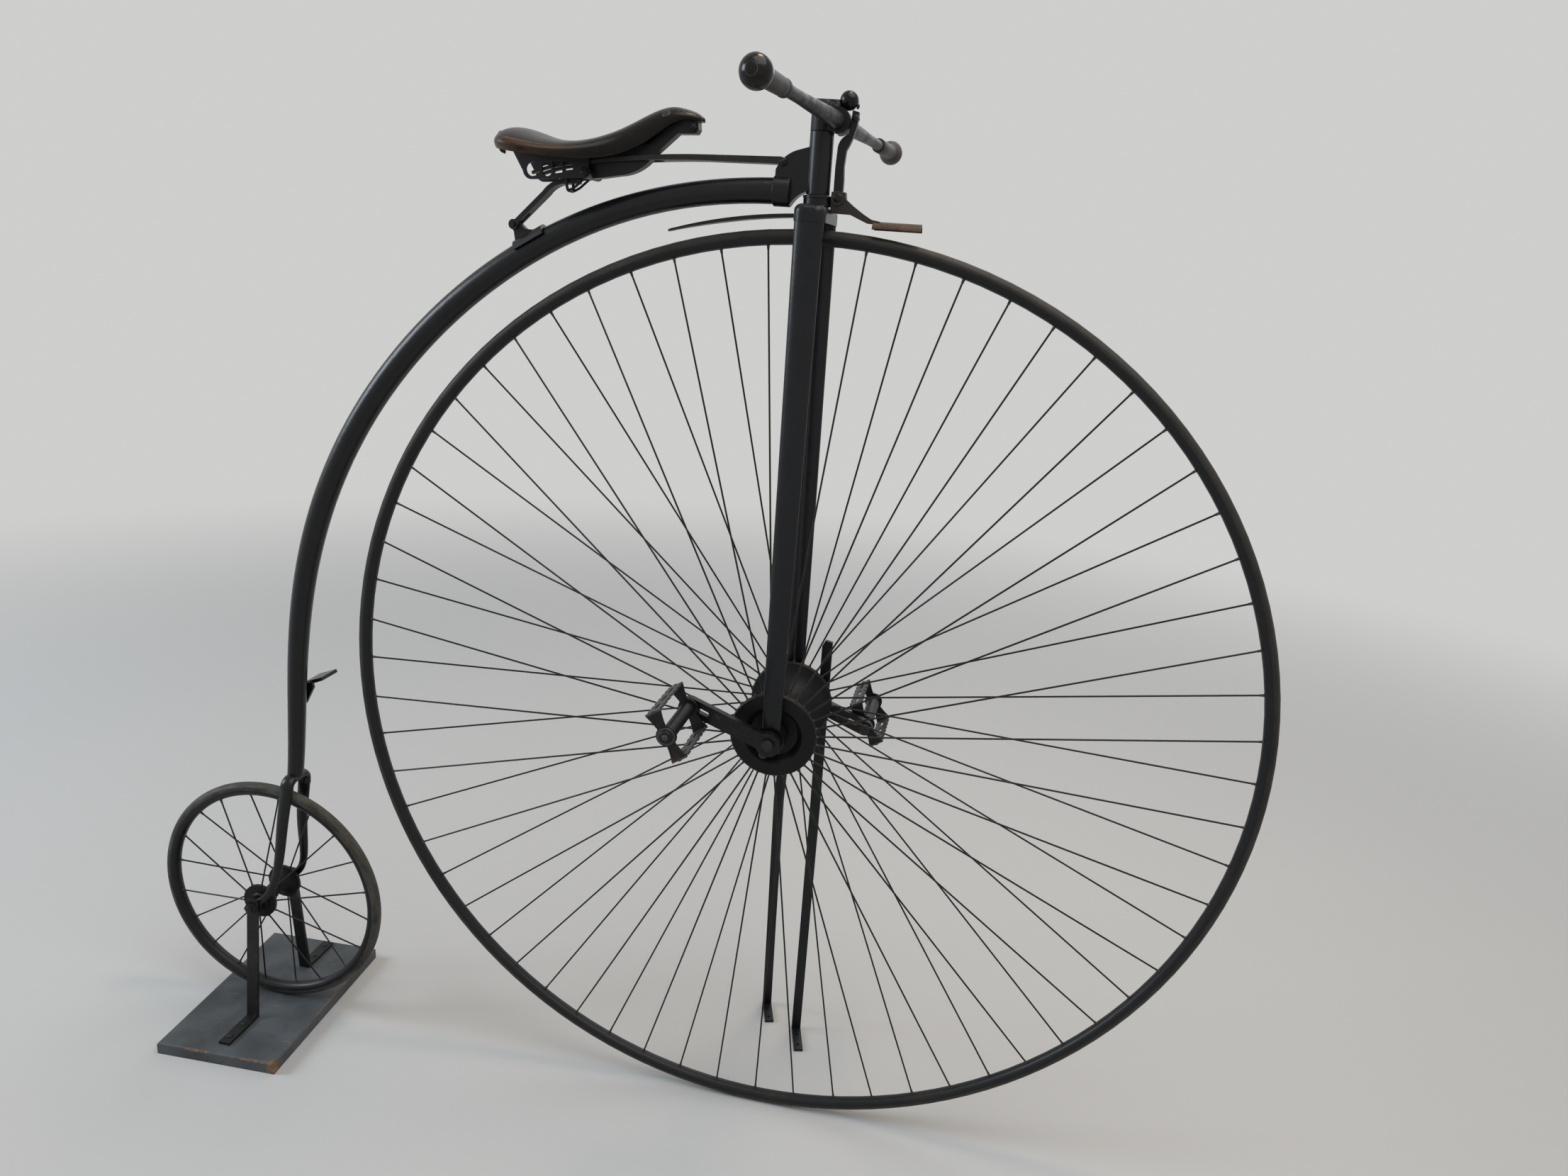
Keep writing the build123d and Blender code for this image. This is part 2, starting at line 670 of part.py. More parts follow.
# Mounting step on the left of the backbone
step_at = Plane(origin=tail + Vector(9.5, 0, 137), x_dir=(1, 0, 0), z_dir=(0, -1, 0))
with BuildPart() as step:
    with BuildSketch(step_at.offset(-15.5)):
        with BuildLine():
            Polyline((2, 15), (18, 19), (20, 9), (6, -19), (-4, -19), close=True)
        make_face()
    extrude(amount=-5)
    with BuildSketch(step_at.offset(-20.5)):
        with BuildLine():
            Polyline((2, 15), (32, 27), (34, 22), (4, 9), close=True)
        make_face()
    extrude(amount=-40)
    add(backbone.part, mode=Mode.SUBTRACT)
save(step.part, "step")

# Leaf spring of the saddle: one blade from the neck, forked round the keel, with its tails under the seat
spring_t = 6.0
with BuildPart() as saddle_spring:
    with BuildSketch(side_plane(0, z=head_z)):
        with BuildLine():
            Polyline((-52, 43), (-150, 40.5))
            ThreePointArc((-150, 40.5), (-225, 35.5), (-300, 25.3))
            ThreePointArc((-300, 25.3), (-340, 19.8), (-376, 8.8))
            Line((-376, 8.8), (-376, 5.2))
            ThreePointArc((-376, 5.2), (-340, 16), (-300, 21))
            ThreePointArc((-300, 21), (-225, 29.5), (-150, 33.5))
            Polyline((-150, 33.5), (-52, 34.5), (-52, 43))
        make_face()
    extrude(amount=17, both=True)
    with BuildSketch(Plane.XY.offset(head_z)):
        with BuildLine():
            Polyline((-52, 9), (-150, 11), (-225, 17), (-376, 17), (-376, 10), (-214, 10))
            ThreePointArc((-214, 10), (-204, 0), (-214, -10))
            Polyline((-214, -10), (-376, -10), (-376, -17), (-225, -17), (-150, -11), (-52, -9), (-52, 9))
        make_face()
    extrude(amount=60, mode=Mode.INTERSECT)
    add(head_lug.part, mode=Mode.SUBTRACT)
save(saddle_spring.part, "saddle_spring")

# Saddle cradle: a keel from the nose to a cross barrel, two pierced cheeks behind it and the cantle plate
cheek_in = 18.5
cheek_t = 3.0
keel_half = 8.0
cantle_x = -406.0

with BuildPart() as saddle_cradle:
    with BuildSketch(side_plane(0, z=head_z)):
        with BuildLine():
            Polyline((-302, 4), (-285, 6), (-262, 10))
            ThreePointArc((-262, 10), (-236, 18), (-214, 38))
            Polyline((-214, 38), (-186, 63), (-162, 64), (-159, 69), (-160, 79), (-166, 84), (-183, 84), (-190, 76))
            Polyline((-190, 76), (-222, 50), (-262, 38), (-302, 33), (-302, 4))
        make_face()
    extrude(amount=keel_half, both=True)
    for side in (-1, 1):
        with BuildSketch(side_plane(side * cheek_in, z=head_z)):
            with BuildLine():
                Polyline((cantle_x + 3, 49), (-399, 30), (-386, 8))
                ThreePointArc((-386, 8), (-382.5, 1.5), (-376, -1.5))
                Polyline((-376, -1.5), (-344, 0.5), (-318, 3), (-297, 5), (-297, 30), (-330, 38), (cantle_x + 3, 49))
            make_face()
            with Locations((-372, 11)):
                SlotOverall(19.5, 16.5, rotation=15, mode=Mode.SUBTRACT)
            with Locations((-353.5, 12)):
                SlotOverall(17.5, 12.5, rotation=98, mode=Mode.SUBTRACT)
            # Place and size of the two square windows
            for x, z, width, height in ((-339.2, 15, 11.5, 14.5), (-325, 17.2, 12, 10.5)):
                with Locations((x, z)):
                    Rectangle(width, height, rotation=10, mode=Mode.SUBTRACT)
        extrude(amount=-side * cheek_t)
    with BuildSketch(side_plane(0, z=head_z)):
        with Locations((-302, 10.5)):
            Circle(7.5)
    extrude(amount=cheek_in + cheek_t + 3, both=True)
    with BuildPart(mode=Mode.PRIVATE) as cantle:
        with BuildSketch(Plane(origin=(cantle_x, 0, head_z), x_dir=(0, 1, 0), z_dir=(1, 0, 0))):
            with BuildLine():
                ThreePointArc((-74, 40), (0, 57.5), (74, 40))
                Line((74, 40), (74, 34))
                ThreePointArc((74, 34), (0, 44), (-74, 34))
                Line((-74, 34), (-74, 40))
            make_face()
        extrude(amount=24)
        with BuildSketch(Plane.XY.offset(head_z)):
            with BuildLine():
                ThreePointArc((cantle_x + 15, -76), (cantle_x, 0), (cantle_x + 15, 76))
                Line((cantle_x + 15, 76), (cantle_x + 19, 76))
                ThreePointArc((cantle_x + 19, 76), (cantle_x + 4, 0), (cantle_x + 19, -76))
                Line((cantle_x + 19, -76), (cantle_x + 15, -76))
            make_face()
        extrude(amount=70, mode=Mode.INTERSECT)
    add(cantle.part)
save(saddle_cradle.part, "saddle_cradle")

# Clamp on the backbone with an ear for the rear leg's pin
clamp_turn = 30.3  # of the clamp round the first arc, from its top
clamp_dir = Vector(cos(radians(clamp_turn)), 0, sin(radians(clamp_turn)))
clamp_out = Vector(-clamp_dir.Z, 0, clamp_dir.X)
arc_centre = neck + Vector(sin(radians(neck_angle)), 0, -cos(radians(neck_angle))) * (hub_z + 35.9)
clamp_at = arc_centre + clamp_out * (hub_z + 35.9)
clamp_plane = Plane(origin=clamp_at, x_dir=clamp_dir, z_dir=(0, -1, 0))
ear_at = 4.0  # of the pin along the clamp
clamp_pin = clamp_at + clamp_dir * ear_at + clamp_out * 37

with BuildPart() as leg_clamp:
    with BuildSketch(Plane(origin=clamp_at + clamp_dir * -8, x_dir=(0, 1, 0), z_dir=clamp_dir)):
        Circle(tube_r + 4)
        with Locations((0, -11)):
            Rectangle(60, 36, mode=Mode.SUBTRACT)
    extrude(amount=46)
    with BuildSketch(clamp_plane):
        with BuildLine():
            Polyline((-8, 14), (-5, 20), (ear_at - 5, 30), (ear_at - 6.5, 37))
            ThreePointArc((ear_at - 6.5, 37), (ear_at, 43.5), (ear_at + 6.5, 37))
            Polyline((ear_at + 6.5, 37), (15, 25), (23, 20), (38, 17), (38, 14), (-8, 14))
        make_face()
        with Locations((ear_at, 37)):
            Circle(3, mode=Mode.SUBTRACT)
    extrude(amount=5, both=True)
    add(backbone.part, mode=Mode.SUBTRACT)
save(leg_clamp.part, "leg_clamp")

# Rear leg of the saddle: a bent bar with a fork of two ears round the clamp, a pin and the clip under the seat
with BuildPart() as rear_leg:
    with BuildSketch(side_plane(0, z=head_z)):
        low = (clamp_pin.X, clamp_pin.Z - head_z)
        with BuildLine() as bent:
            Line((-318, 0.5), (-336, -1))
            ThreePointArc((-336, -1), (-350, -5.5), (-362, -16))
            Line((-362, -16), low)
        trace(line_width=6)
    extrude(amount=9, both=True)
    with BuildSketch(side_plane(0, clamp_pin.X, clamp_pin.Z)):
        Circle(6.5)
    extrude(amount=9, both=True)
    with BuildSketch(side_plane(0, clamp_pin.X, clamp_pin.Z)):
        Rectangle(40, 34)
    extrude(amount=5.05, both=True, mode=Mode.SUBTRACT)
    with BuildSketch(side_plane(0, clamp_pin.X, clamp_pin.Z)):
        Circle(3)
    extrude(amount=12, both=True)
save(rear_leg.part, "rear_leg")

# Leather: an arched sheet lofted over its cradle
leather_t = 4.0
# Station, half width, and heights of the crown, the arch's edge and the hem
leather_rows = (
    (-408, 56, 62, 47.5, 39),
    (-399, 74, 61, 43.5, 35.5),
    (-386, 86, 59, 39, 31),
    (-362, 91, 54, 34, 26),
    (-325, 76, 50.5, 34, 24),
    (-290, 52, 57, 41, 25),
    (-250, 33, 68, 50, 33),
    (-215, 27, 86, 69, 54),
    (-190, 24, 93.5, 82, 75),
    (-172, 19, 91.5, 85.5, 82),
    (-158, 12, 86.5, 82.5, 78.5),
)

with BuildPart() as saddle_leather:
    for x, half, crown_h, arch_h, hem_h in leather_rows:
        inner = half - leather_t
        under_h = arch_h - leather_t / 2
        with BuildSketch(Plane(origin=(x, 0, head_z), x_dir=(0, 1, 0), z_dir=(1, 0, 0))):
            with BuildLine():
                Line((-half, hem_h), (-half, arch_h))
                ThreePointArc((-half, arch_h), (0, crown_h), (half, arch_h))
                Polyline((half, arch_h), (half, hem_h), (inner, hem_h), (inner, under_h))
                ThreePointArc((inner, under_h), (0, crown_h - leather_t), (-inner, under_h))
                Polyline((-inner, under_h), (-inner, hem_h), (-half, hem_h))
            make_face()
    loft(ruled=True)
    add(saddle_cradle.part, mode=Mode.SUBTRACT)
save(saddle_leather.part, "saddle_leather")
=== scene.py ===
"""Finishes, saddle leather and small fittings of a high-wheel bicycle parked on its display stand.

Metres, X forward, Y to the rider's left, Z up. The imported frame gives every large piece, and this script
dresses it.
"""

import math

import bpy
import numpy as np
from mathutils import Matrix, Vector


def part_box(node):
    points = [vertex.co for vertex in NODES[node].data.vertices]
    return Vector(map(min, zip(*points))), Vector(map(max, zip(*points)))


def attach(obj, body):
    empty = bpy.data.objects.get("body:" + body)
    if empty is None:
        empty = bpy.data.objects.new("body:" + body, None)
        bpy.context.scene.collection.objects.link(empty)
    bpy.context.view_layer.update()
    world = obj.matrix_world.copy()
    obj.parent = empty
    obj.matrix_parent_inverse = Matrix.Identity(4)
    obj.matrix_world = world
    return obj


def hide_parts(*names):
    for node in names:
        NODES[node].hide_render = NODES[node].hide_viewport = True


bl_info = {
    "name": "High-wheel bicycle",
    "version": (1, 0, 0),
    "blender": (4, 5, 0),
    "location": "3D View > Sidebar > Bicycle",
    "description": "Dresses the packed high-wheel bicycle with its leather, fittings and finishes",
    "category": "Object",
}

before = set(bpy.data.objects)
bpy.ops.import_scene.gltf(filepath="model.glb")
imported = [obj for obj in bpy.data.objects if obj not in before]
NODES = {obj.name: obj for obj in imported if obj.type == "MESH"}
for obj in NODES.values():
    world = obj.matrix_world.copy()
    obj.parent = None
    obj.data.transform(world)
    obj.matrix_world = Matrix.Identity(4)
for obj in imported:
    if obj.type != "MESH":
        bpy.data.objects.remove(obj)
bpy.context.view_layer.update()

MM = 0.001


def middle(node):
    """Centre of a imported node's box."""
    low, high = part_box(node)
    return (low + high) / 2


FRONT_HUB = middle("front_axle")
REAR_HUB = middle("rear_axle")
# Seat of the steering collar, over the front hub: places on the head and saddle are measured from it
HEAD = Vector((FRONT_HUB.x, 0.0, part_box("steering_stem")[0].z + 12 * MM))
PLANK = middle("stand_board")
PLANK_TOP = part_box("stand_board")[1].z
PLANK_SKEW = math.radians(2.3)
PLANK_HALF = (101 * MM, 155.5 * MM)
BAR = HEAD + Vector((15, 0, 87)) * MM
BAR_TURN = math.radians(5.2)
# Along the bar from its middle: the ferrule rings and the balls' centres
FERRULE_AT = 0.2342
BALL_AT = 0.325
BALL_RADIUS = 0.0170
# Radius over each tyre's tread
FRONT_RADIUS = 660.5 * MM
REAR_RADIUS = 197.0 * MM
SPOKES_FRONT = 64
SPOKES_REAR = 20
REAR_PHASE = 10.0
CRANK_THROW = 117 * MM
CRANK_ANGLE = math.radians(159.5)
PEDAL_TILT = math.radians(-57.3)
# The right and the left of the bicycle, and the way out of each
SIDES = (-1, 1)
OUTWARD = ((0, -1, 0), (0, 1, 0))
DUST = (0.12, 0.11, 0.10)


def by_head(x, y, z):
    """Point measured in millimetres from the steering collar's seat."""
    return HEAD + Vector((x, y, z)) * MM


def pair_by_head(x, y, z):
    """A point on the right and its twin on the left, measured as by_head does."""
    return [by_head(x, -y, z), by_head(x, y, z)]


def out_from(centre, side, distance):
    """A point so many millimetres to one side of a centre."""
    return centre + Vector((0, side * distance * MM, 0))


# Settings


def colour_property(name, description, default):
    """A colour that a user may set, in linear values."""
    return bpy.props.FloatVectorProperty(
        name=name, description=description, subtype="COLOR", size=3, min=0.0, max=1.0, default=default
    )


def number_property(name, description, default, low, high, **more):
    """A number that a user may set between two limits."""
    return bpy.props.FloatProperty(
        name=name, description=description, default=default, min=low, max=high, **more
    )


def length_property(name, description, default, low, high):
    """A length in metres that a user may set."""
    return number_property(name, description, default, low, high, unit="LENGTH")


def count_property(name, description, default, low, high):
    """A whole number that a user may set."""
    return bpy.props.IntProperty(name=name, description=description, default=default, min=low, max=high)


class BicycleFinishSettings(bpy.types.PropertyGroup):
    """Colours and wear of the bicycle's finishes."""

    # The default's slight blue paints the cool cast of daylight into the black
    enamel: colour_property("Enamel", "Black enamel of the frame and fork", (0.0046, 0.0050, 0.0062))
    undercoat: colour_property("Undercoat", "Brown under the rubbed enamel", (0.026, 0.016, 0.011))
    rubber: colour_property("Rubber", "Solid rubber of both tyres", (0.020, 0.0185, 0.0165))
    steel: colour_property("Steel", "Bare steel of the bar, cranks and pedals", (0.19, 0.19, 0.195))
    rust: colour_property("Rust", "Brown rust on bare steel", (0.085, 0.038, 0.017))
    leather: colour_property("Leather", "Dark polished top of the saddle", (0.0052, 0.0038, 0.0036))
    tan: colour_property("Tan", "Brown leather where the polish has gone", (0.068, 0.036, 0.019))
    plank: colour_property("Plank", "Blue-grey paint of the rear plank", (0.064, 0.074, 0.082))
    wood: colour_property("Wood", "Bare wood at the plank's worn corner", (0.30, 0.17, 0.085))
    wear: number_property("Wear", "How far the enamel is rubbed to specks", 0.5, 0.0, 1.0, subtype="FACTOR")


class BicycleSaddleSettings(bpy.types.PropertyGroup):
    """Leather seat and its rivets."""

    thickness: length_property("Thickness", "Thickness of the leather", 0.004, 0.002, 0.006)
    rivet_radius: length_property("Rivet radius", "Radius of a rivet's head", 0.0052, 0.002, 0.008)
    along: count_property("Rows", "Rows of the leather's grid along the seat", 150, 40, 240)
    across: count_property("Columns", "Columns of the leather's grid across the seat", 96, 24, 160)


class BicycleFittingSettings(bpy.types.PropertyGroup):
    """Small fittings: nipples, screws and nuts."""

    nipple_radius: length_property("Nipple radius", "Radius of a spoke's nipple", 0.0018, 0.001, 0.005)
    nipple_length: length_property("Nipple length", "Length of a spoke's nipple", 0.0055, 0.004, 0.02)
    screw_radius: length_property("Screw radius", "Radius of a wood screw's head", 0.0042, 0.002, 0.008)
    nut_radius: length_property("Nut radius", "Radius over a small nut's corners", 0.0058, 0.003, 0.012)


class BicycleStageSettings(bpy.types.PropertyGroup):
    """Floor, light and camera."""

    floor: colour_property("Floor", "Colour of the plain floor", (0.62, 0.62, 0.61))
    backdrop: colour_property("Backdrop", "Colour behind the bicycle", (0.62, 0.62, 0.61))
    key_power: number_property("Soft lights", "Sets the three large lamps", 105.0, 0.0, 2000.0, unit="POWER")
    warm_power: number_property("Warm light", "Power of the ceiling lamp", 11.0, 0.0, 2000.0, unit="POWER")
    sky: number_property("Surroundings", "Strength of the even light all round", 0.22, 0.0, 2.0)
    focal_length: number_property("Focal length", "Lens in mm on a 36 mm wide frame", 24.87, 10.0, 200.0)


# Surfaces


def unit(vectors):
    """Vectors brought to length 1."""
    return vectors / np.maximum(np.linalg.norm(vectors, axis=-1, keepdims=True), 1e-12)


def circle(count, start=0.0):
    """Equal angles round a circle."""
    return np.arange(count) * 2 * math.pi / count + start


def spline_weights(controls, samples, degree=3):
    """Clamped uniform B-spline basis, by Cox and de Boor: row s holds each control point's weight at
    sample s."""
    knots = np.r_[np.zeros(degree), np.linspace(0, 1, controls - degree + 1), np.ones(degree)]
    at = np.linspace(0, 1, samples)[:, None]
    weights = ((at >= knots[:-1]) & (at < knots[1:])).astype(float)
    weights[-1, controls - 1] = 1.0
    for order in range(1, degree + 1):
        left = knots[order:-1] - knots[: -order - 1]
        right = knots[order + 1 :] - knots[1:-order]
        rise = np.where(left > 0, (at - knots[: -order - 1]) / np.where(left > 0, left, 1), 0)
        fall = np.where(right > 0, (knots[order + 1 :] - at) / np.where(right > 0, right, 1), 0)
        weights = rise * weights[:, :-1] + fall * weights[:, 1:]
    return weights


def spline_surface(net, along, across):
    """Tensor B-spline: the net's rows are blended along and its columns across, both by spline_weights."""
    rows, columns = net.shape[:2]
    return np.einsum("ui,vj,ijk->uvk", spline_weights(rows, along), spline_weights(columns, across), net)


def grid_faces(rows, columns, closed=False):
    """Quads of a grid of points numbered row by row; a closed grid joins its last column to its first."""
    row = np.arange(rows - 1)[:, None] * columns
    column = np.arange(columns if closed else columns - 1)[None, :]
    after = (column + 1) % columns
    quads = np.stack((row + column, row + after, row + columns + after, row + columns + column), -1)
    return quads.reshape(-1, 4)


def surface_normals(points):
    """Unit cross product of the grid's two central differences at every point."""
    return unit(np.cross(np.gradient(points, axis=0), np.gradient(points, axis=1)))


def shell(points, thickness):
    """Closed wall: the grid, the same grid moved inwards along its normals by the thickness, and a strip of
    faces round the border that joins them. Returns points, faces and a UV for each point."""
    rows, columns = points.shape[:2]
    inner = points - surface_normals(points) * thickness
    count = rows * columns
    outside = grid_faces(rows, columns)
    inside = outside[:, ::-1] + count
    ids = np.arange(count).reshape(rows, columns)
    border = np.concatenate((ids[0, :-1], ids[:-1, -1], ids[-1, :0:-1], ids[:0:-1, 0]))
    following = np.roll(border, -1)
    strip = np.stack((following, border, border + count, following + count), -1)
    u, v = np.meshgrid(np.linspace(0, 1, rows), np.linspace(0, 1, columns), indexing="ij")
    uv = np.stack((u, v), -1).reshape(-1, 2)
    vertices = np.concatenate((points.reshape(-1, 3), inner.reshape(-1, 3)))
    return vertices, np.concatenate((outside, inside, strip)).tolist(), np.concatenate((uv, uv))


def square_frames(directions):
    """Two unit vectors square to each direction, from its cross product with the axis it follows least,
    and the direction itself brought to length 1."""
    directions = unit(np.atleast_2d(np.asarray(directions, float)))
    least = np.eye(3)[np.argmin(np.abs(directions), axis=-1)]
    first = unit(np.cross(least, directions))
    return first, np.cross(directions, first), directions


def turned(profile, places, directions, sides=16, twist=0.0):
    """Turned pieces: place + radius (cos a first + sin a second) + height direction, for each (radius, height)
    of the profile and each of the sides' equal angles a, closed by a flat cap at each end."""
    profile = np.asarray(profile, float)
    places = np.atleast_2d(np.asarray(places, float))
    first, second, along = (vectors[:, None, :] for vectors in square_frames(directions))
    angle = circle(sides, twist)[None, :, None]
    ring = np.cos(angle) * first + np.sin(angle) * second
    points = (
        places[:, None, None, :]
        + profile[None, :, 0, None, None] * ring[:, None]
        + profile[None, :, 1, None, None] * along[:, None]
    )
    pieces, rows = points.shape[:2]
    base = np.arange(pieces)[:, None, None] * rows * sides
    quads = (grid_faces(rows, sides, closed=True)[None] + base).reshape(-1, 4)
    low = np.arange(sides)[::-1][None] + base[:, 0]
    high = np.arange(sides)[None] + (rows - 1) * sides + base[:, 0]
    return points.reshape(-1, 3), quads.tolist() + low.tolist() + high.tolist()


def drawn(corners, samples, radius, sides, start_up):
    """Round wire along a quadratic spline from the first corner to the last, pulled towards those between, in
    millimetres by the head. Each point's circle is path + radius (cos a side - sin a up), square to the run
    with up nearest to start_up, and both ends are capped."""
    corners = np.asarray([by_head(*corner) for corner in corners], float)
    path = spline_weights(len(corners), samples, degree=2) @ corners
    run = unit(np.gradient(path, axis=0))
    side = unit(np.cross(run, start_up))
    up = np.cross(side, run)
    angle = -circle(sides)[None, :, None]
    points = path[:, None] + np.cos(angle) * radius * side[:, None] + np.sin(angle) * radius * up[:, None]
    last = (samples - 1) * sides
    ends = [list(range(sides))[::-1], list(range(last, last + sides))]
    return points.reshape(-1, 3), grid_faces(samples, sides, closed=True).tolist() + ends


def hoop(centre, direction, radius, thickness, sides=40, corners=8):
    """Ring of round wire: centre + (radius + thickness cos a) lean + thickness sin a direction, where lean
    turns once round the direction."""
    angle, turn = circle(corners)[:, None, None], circle(sides)[:, None]
    first, second, _ = square_frames(direction)
    lean = np.cos(turn) * first + np.sin(turn) * second
    points = centre + (radius + thickness * np.cos(angle)) * lean + thickness * np.sin(angle) * direction
    return points.reshape(-1, 3), (grid_faces(corners + 1, sides, closed=True) % (corners * sides)).tolist()


def dome(radius, height, base=0.0):
    """Profile of a domed head: a short straight side, then most of a quarter of an ellipse up to a flat."""
    turn = np.linspace(0, math.radians(86), 7)
    head = np.stack((radius * np.cos(turn), base + height * 0.25 + height * 0.75 * np.sin(turn)), -1)
    return np.concatenate(([[radius, base]], head))


def nut(radius, height):
    """Profile of a nut with its corners chamfered."""
    return (radius * 0.9, 0.0), (radius, height * 0.12), (radius, height * 0.82), (radius * 0.86, height)


def make_piece(name, parts, finish, body, uv=None, smooth=0.6):
    """Joins parts, each a pair of points and faces, in one mesh with its finish, smooth but for edges sharper
    than the angle, and rides it on its body."""
    points, faces = [], []
    for part_points, part_faces in parts:
        faces.extend([[corner + len(points) for corner in face] for face in part_faces])
        points.extend(part_points.tolist())
    mesh = bpy.data.meshes.new(name)
    mesh.from_pydata(points, [], faces)
    mesh.validate()
    if uv is not None:
        layer = mesh.uv_layers.new(name="across_and_along")
        corners = np.empty(len(mesh.loops), np.int32)
        mesh.loops.foreach_get("vertex_index", corners)
        layer.data.foreach_set("uv", np.asarray(uv, np.float32)[corners].ravel())
    mesh.materials.append(finish)
    piece = bpy.data.objects.new(name, mesh)
    bpy.context.scene.collection.objects.link(piece)
    mesh.shade_smooth()
    mesh.set_sharp_from_angle(angle=smooth)
    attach(piece, body)
    return piece


# Finishes


def math_step(operation, swapped=False):
    """A method of Pattern that adds one Math node; swapped puts the pattern in the node's second place."""

    def step(self, other=0.0):
        first, second = (other, self) if swapped else (self, other)
        return self.finish.make("ShaderNodeMath", {"operation": operation}, {0: first, 1: second})

    return step


class Pattern:
    """A number over a surface. Arithmetic on it adds Math nodes to the finish that it belongs to."""

    __add__ = math_step("ADD")
    __radd__ = math_step("ADD", swapped=True)
    __sub__ = math_step("SUBTRACT")
    __rsub__ = math_step("SUBTRACT", swapped=True)
    __mul__ = math_step("MULTIPLY")
    __rmul__ = math_step("MULTIPLY", swapped=True)
    __pow__ = math_step("POWER")
    __abs__ = math_step("ABSOLUTE")
    higher = math_step("MAXIMUM")
    lower = math_step("MINIMUM")
    angle_from = math_step("ARCTAN2")

    def __init__(self, finish, socket):
        self.finish = finish
        self.socket = socket


class Finish:
    """A finish being written: it makes nodes and hands back their outputs as patterns."""

    def __init__(self, name):
        self.use = bpy.context.scene.bicycle_finish
        self.material = bpy.data.materials.new(name)
        self.material.use_nodes = True
        self.tree = self.material.node_tree
        self.tree.nodes.clear()
        self.shader = self.tree.nodes.new("ShaderNodeBsdfPrincipled")
        self.output = self.tree.nodes.new("ShaderNodeOutputMaterial")
        self.tree.links.new(self.shader.outputs["BSDF"], self.output.inputs["Surface"])

    def feed(self, socket, value):
        """A link from a pattern, or a plain value."""
        if isinstance(value, Pattern):
            self.tree.links.new(value.socket, socket)
        elif socket.type == "RGBA":
            socket.default_value = (*value, 1.0)
        else:
            socket.default_value = value

    def make(self, kind, options, sockets, out=0):
        """One node of a kind, its options first, then the values or links of its sockets."""
        node = self.tree.nodes.new(kind)
        for key, value in options.items():
            setattr(node, key, value)
        for key, value in sockets.items():
            self.feed(node.inputs[key], value)
        return Pattern(self, node.outputs[out])

    def here(self, centre=(0, 0, 0), turn=0.0, stretch=None):
        """Object coordinates measured from a centre, turned about Z and stretched."""
        place = self.make("ShaderNodeTexCoord", {}, {}, out="Object")
        moved = self.make("ShaderNodeVectorMath", {"operation": "SUBTRACT"}, {0: place, 1: tuple(centre)})
        if turn:
            moved = self.make("ShaderNodeMapping", {}, {"Vector": moved, "Rotation": (0.0, 0.0, -turn)})
        if stretch:
            moved = self.make("ShaderNodeVectorMath", {"operation": "MULTIPLY"}, {0: moved, 1: stretch})
        return moved

    def parts(self, vector):
        """The three parts of a vector as patterns."""
        node = self.make("ShaderNodeSeparateXYZ", {}, {0: vector}).socket.node
        return [Pattern(self, output) for output in node.outputs]

    def vector(self, x, y, z):
        """A vector from three patterns or numbers."""
        return self.make("ShaderNodeCombineXYZ", {}, {0: x, 1: y, 2: z})

    def noise(self, at, scale, detail, rough, twist=0.0):
        """Cloudy noise between 0 and 1 with its middle near 0.5."""
        sockets = {"Vector": at, "Scale": scale, "Detail": detail, "Roughness": rough, "Distortion": twist}
        return self.make("ShaderNodeTexNoise", {}, sockets)

    def cells(self, at, scale):
        """Distance to the nearest point of a scatter."""
        return self.make("ShaderNodeTexVoronoi", {}, {"Vector": at, "Scale": scale})

    def between(self, value, low, high):
        """Smooth step from 0 at low to 1 at high."""
        return self.make(
            "ShaderNodeMapRange",
            {"interpolation_type": "SMOOTHSTEP", "clamp": True},
            {"Value": value, "From Min": low, "From Max": high},
        )

    def mixed(self, share, first, second):
        """Colour mixed from first to second by share."""
        options = {"data_type": "RGBA", "clamp_factor": True}
        return self.make("ShaderNodeMix", options, {0: share, 6: first, 7: second}, out=2)

    def layered(self, colour, *coats):
        """A colour under coats of (share, colour), each laid over the one before."""
        for share, coat in coats:
            colour = self.mixed(share, colour, coat)
        return colour

    def relief(self, height, depth, strength):
        """Normal of a surface raised by height times depth."""
        sockets = {"Height": height, "Distance": depth, "Strength": strength}
        return self.make("ShaderNodeBump", {}, sockets, out="Normal")

    def wheel(self, centre):
        """Radius and angle round an axle that runs along Y, and the distance from the wheel's middle plane."""
        x, y, z = self.parts(self.here(centre))
        return (x * x + z * z) ** 0.5, z.angle_from(x), abs(y)

    def done(self, **sockets):
        """Sets the shader's sockets by name and gives the material."""
        for name, value in sockets.items():
            self.feed(self.shader.inputs[name.replace("_", " ")], value)
        return self.material


def scaled(colour, factor, tint=(1, 1, 1)):
    """A colour made lighter or darker, and tinted."""
    return tuple(min(1.0, part * share * factor) for part, share in zip(colour, tint))


